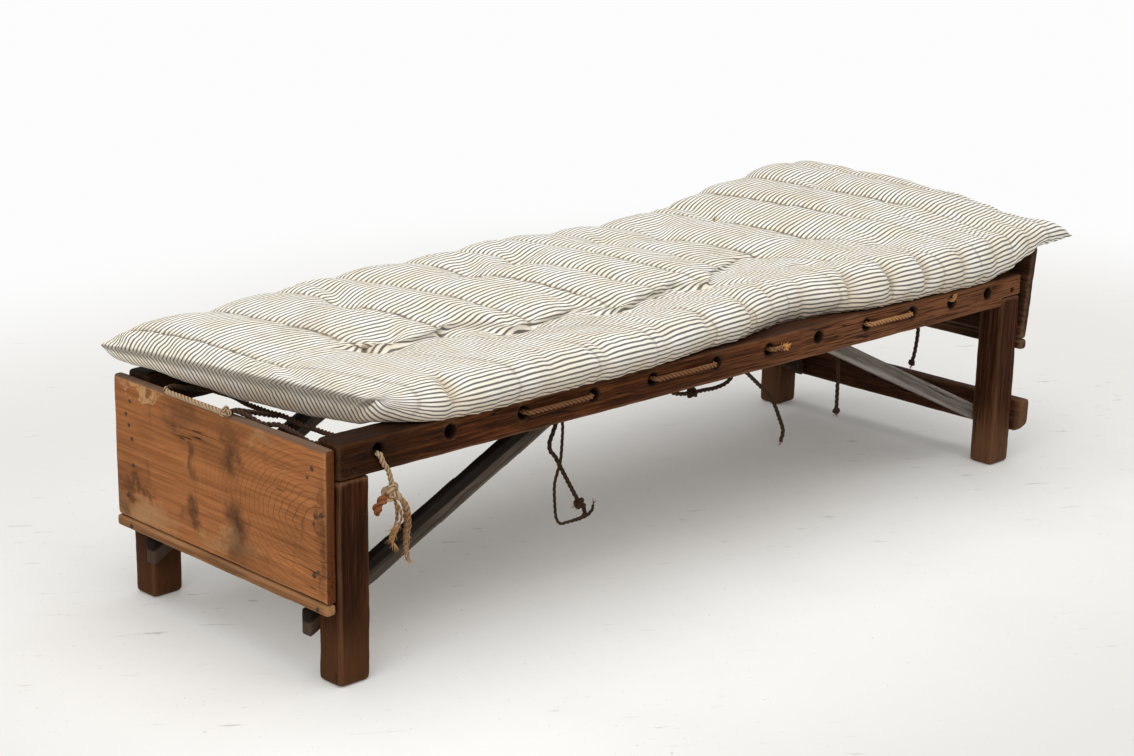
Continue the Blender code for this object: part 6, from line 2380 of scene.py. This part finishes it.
    def build(self, fibres: Wisps, orange: Material) -> None:
        """Lay the ropes and tie the knots.

        Args:
            fibres: What grows the loose fibres.
            orange: Finish of the cut end's fibres.
        """
        size = self.sizes
        foot, middle, head = (eased_line(size.row(corners), self.step, self.eased_rounds)
                              for corners in self.lengths())
        # The foot length takes the dark cord finish: painted shade, as it runs in shadow at the foot.
        for end, line, finish in (("foot", wavy_line(foot, sway=0.004, wave=0.05, seed=5), self.dark),
                                  ("middle", wavy_line(middle, sway=0.0008, wave=0.04, seed=6), self.brown),
                                  ("head", wavy_line(head, sway=0.0008, wave=0.04, seed=7), self.tan)):
            self.lay("lacing_%s_rope" % end, [line], finish, "hemp_rope", "lacing_" + end)
        for name in ("stopper_knot_foot", "stopper_knot_middle", "stopper_knot_head"):
            corners = mesh_points(self.nodes[name].data)
            centre = (corners.min(axis=0) + corners.max(axis=0)) / 2
            across = (math.sin(size.taper), math.cos(size.taper), 0.0)
            knot = trefoil_line(centre, across, self.knot_size, self.knot_rope)
            self.lay(name + "_tied", [knot], self.brown, "hemp_rope", name, diameter=self.knot_rope)
        self.build_panel_rope()
        roots = [(middle[back], middle[-1] - middle[-4], self.stub_fray) for back in (-1, -2, -3, -4, -5)]
        grown = fibres.grow("lacing_stub_wisps", roots, count=26, seed=88, finish=orange)
        settle_piece(grown, "frame", "hemp_rope")
        radius, axis = size.rope_diameter / 2 + self.hitch_out, np.array((0.0, 1.0, 0.0))
        coils = [(coil_line(centre, axis, radius, self.hitch_pitch, self.hitch_turns),)
                 for centre in size.row(self.hitches)]
        cord = RopeLay(self.hitch_rope, strands=2, pitch=self.hitch_lay, sides=6)
        cord.piece("cord_hitches", self.dark, "dark_cord", coils)


@dataclass
class Tail:
    """The rope's tail out of the first near hole: a knot, a crumpled short end, and a frayed long end."""

    sizes: BedSizes
    pale: Material
    rust: Material
    golden: Material
    diameter: float = 0.010
    step: float = 0.0025
    lay: float = 0.028
    knot_place: Point = (0.0215, -0.0078, -0.0760)
    knot_way: Point = (0.55, 0.80, 0.10)
    knot_size: Point = (0.037, 0.036, 0.030)
    knot_rope: float = 0.0125
    bead_radius: float = 0.0074
    bead_pitch: float = 0.0155
    bead_depth: float = 0.24
    bead_step: float = 0.0012
    bead_lay: float = 0.034
    bead_tip: float = 0.005
    fray_from: float = 0.085
    fray_length: float = 0.10
    fray_loss: float = 0.6
    strand_lay: float = 0.020
    strand_tip: float = 0.40
    strand_wave: Band = (0.0035, 0.016)
    spread_share: float = 0.35
    long_strand: float = 0.0068
    side_strand: float = 0.0060
    long_fray: float = 0.016
    side_fray: float = 0.020
    tuft_fray: tuple[Point, float] = ((-0.8, 0.25, -0.35), 0.024)
    tip_fray: float = 0.018
    route: tuple[Point, ...] = (
        (0.0, 0.0052, -0.0060), (0.0, 0.0, -0.0057), (0.0002, -0.0045, -0.0072), (0.0008, -0.0063, -0.0118),
        (0.0040, -0.0062, -0.0200), (0.0095, -0.0063, -0.0280), (0.0145, -0.0064, -0.0360),
        (0.0185, -0.0069, -0.0470), (0.0210, -0.0076, -0.0600), (0.0225, -0.0077, -0.0740))
    short_end: tuple[Point, ...] = (
        (0.0150, -0.0079, -0.0800), (0.0040, -0.0081, -0.0830), (-0.0060, -0.0083, -0.0900),
        (-0.0110, -0.0084, -0.1000), (-0.0090, -0.0084, -0.1080))
    long_end: tuple[Point, ...] = (
        (0.0300, -0.0080, -0.0850), (0.0430, -0.0084, -0.0930), (0.0510, -0.0088, -0.1080),
        (0.0530, -0.0092, -0.1280), (0.0530, -0.0094, -0.1500), (0.0515, -0.0096, -0.1750),
        (0.0530, -0.0098, -0.1930), (0.0585, -0.0100, -0.2073))
    side_end: tuple[Point, ...] = (
        (0.0260, -0.0082, -0.0900), (0.0340, -0.0086, -0.1050), (0.0360, -0.0090, -0.1220),
        (0.0290, -0.0092, -0.1400), (0.0210, -0.0094, -0.1540), (0.0250, -0.0096, -0.1660))
    strands: tuple[tuple[float, float, float], ...] = (
        (-0.0045, 0.0010, 0.98), (0.0030, -0.0020, 0.90), (0.0050, 0.0015, 0.74), (-0.0020, 0.0022, 0.84))

    def places(self, route: Iterable[Point]) -> Array:
        """Bring offsets from the hole's mouth into the row frame."""
        mouth = self.sizes.row(self.sizes.axis(1, 0))[0]
        return mouth + np.array([tuple(point) for point in route])

    def bundle(self, line: Array, seed: int) -> list[tuple[Array, Array]]:
        """Loose strands beside a line.

        Args:
            line: The line that they keep to.
            seed: Seed of their waves.

        Returns:
            The line and the taper of each strand.
        """
        first, second = line_normals(line)
        spread = ease(np.linspace(0.0, 1.0, len(line)) / self.spread_share)
        made = []
        for number, (aside, behind, share) in enumerate(self.strands, seed):
            own = line + first * (aside * spread)[:, None] + second * (behind * spread)[:, None]
            own = wavy_line(own, *self.strand_wave, number)[:max(4, round(len(line) * share))]
            made.append((own, np.linspace(1.0, self.strand_tip, len(own))))
        return made

    def build(self, fibres: Wisps) -> None:
        """Args:
            fibres: What grows its loose fibres.
        """
        line = smooth_line(self.places(self.route + self.long_end), self.step)
        lengths = line_lengths(line)
        taper = 1.0 - self.fray_loss * ease((lengths - self.fray_from) / self.fray_length)
        rope = RopeLay(self.diameter, pitch=self.lay).piece(
            "tail_rope_laid", self.pale, "pale_rope", [(line, taper)], "tail_rope")
        centre = self.places([self.knot_place])[0]
        tied = trefoil_line(centre, self.knot_way, self.knot_size, self.knot_rope)
        knot = RopeLay(self.knot_rope, pitch=self.lay).piece(
            "tail_knot_tied", self.pale, "pale_rope", [(tied,)], "tail_knot")
        short = smooth_line(self.places(self.short_end), self.bead_step)
        along = line_lengths(short)
        swell = 1.0 + self.bead_depth * np.cos(along / self.bead_pitch * 2 * math.pi)
        swell = swell * (0.5 + 0.5 * ease((along[-1] - along) / self.bead_tip))
        beads = RopeLay(2 * self.bead_radius, pitch=self.bead_lay, sides=10).piece(
            "tail_short_end_beaded", self.rust, "pale_rope", [(short, swell)], "tail_short_end")
        long, side = (smooth_line(self.places(route), self.step) for route in (self.long_end, self.side_end))
        basket = MeshBasket()
        for own, thick, seed in ((long, self.long_strand, 60), (side, self.side_strand, 70)):
            strand = RopeLay(thick, strands=2, pitch=self.strand_lay, sides=6)
            for route in self.bundle(own, seed):
                strand.add(basket, *route)
        loose = settle_piece(basket.piece("tail_frayed_strands", self.golden), "frame", "pale_rope",
                             "tail_frayed_end")
        roots = [(own[point], own[point] - own[point - 4], reach)
                 for own, reach in ((long, self.long_fray), (side, self.side_fray))
                 for point in range(len(own) // 2, len(own), 3)]
        roots += [(side[len(side) * 5 // 8], *self.tuft_fray), (side[-1], side[-1] - side[-5], self.tip_fray)]
        grown = fibres.grow("tail_wisps", roots, count=9, seed=81, finish=self.golden)
        fuzz = settle_piece(grown, "frame", "pale_rope")


def main() -> None:
    """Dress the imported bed, piece by piece."""
    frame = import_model()
    logging.basicConfig(level=logging.INFO, format="%(name)s: %(message)s")
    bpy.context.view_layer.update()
    nodes = frame["nodes"]
    sizes, fibres = BedSizes(), Wisps()
    Studio().build()
    ropes = {name: RopeFinish(name, *colours).material() for name, colours in ROPE_COLOURS.items()}
    dark, pale, rust = ropes["dark_cord"], ropes["pale_rope"], ropes["rust_rope"]
    HangingCords(sizes, dark).build(fibres, rust)
    lacing = Lacing(sizes, nodes, ropes["brown_rope"], ropes["tan_rope"], pale, dark)
    lacing.build(fibres, ropes["orange_fibre"])
    Tail(sizes, pale, rust, ropes["golden_rope"]).build(fibres)
    Timbers(nodes, sizes).build()
    Nails(nodes, sizes, IronFinish().material()).build()
    Mattress(sizes, TickingFinish().material()).build(fibres, ropes["tuft_thread"])


if __name__ == "__main__":
    main()
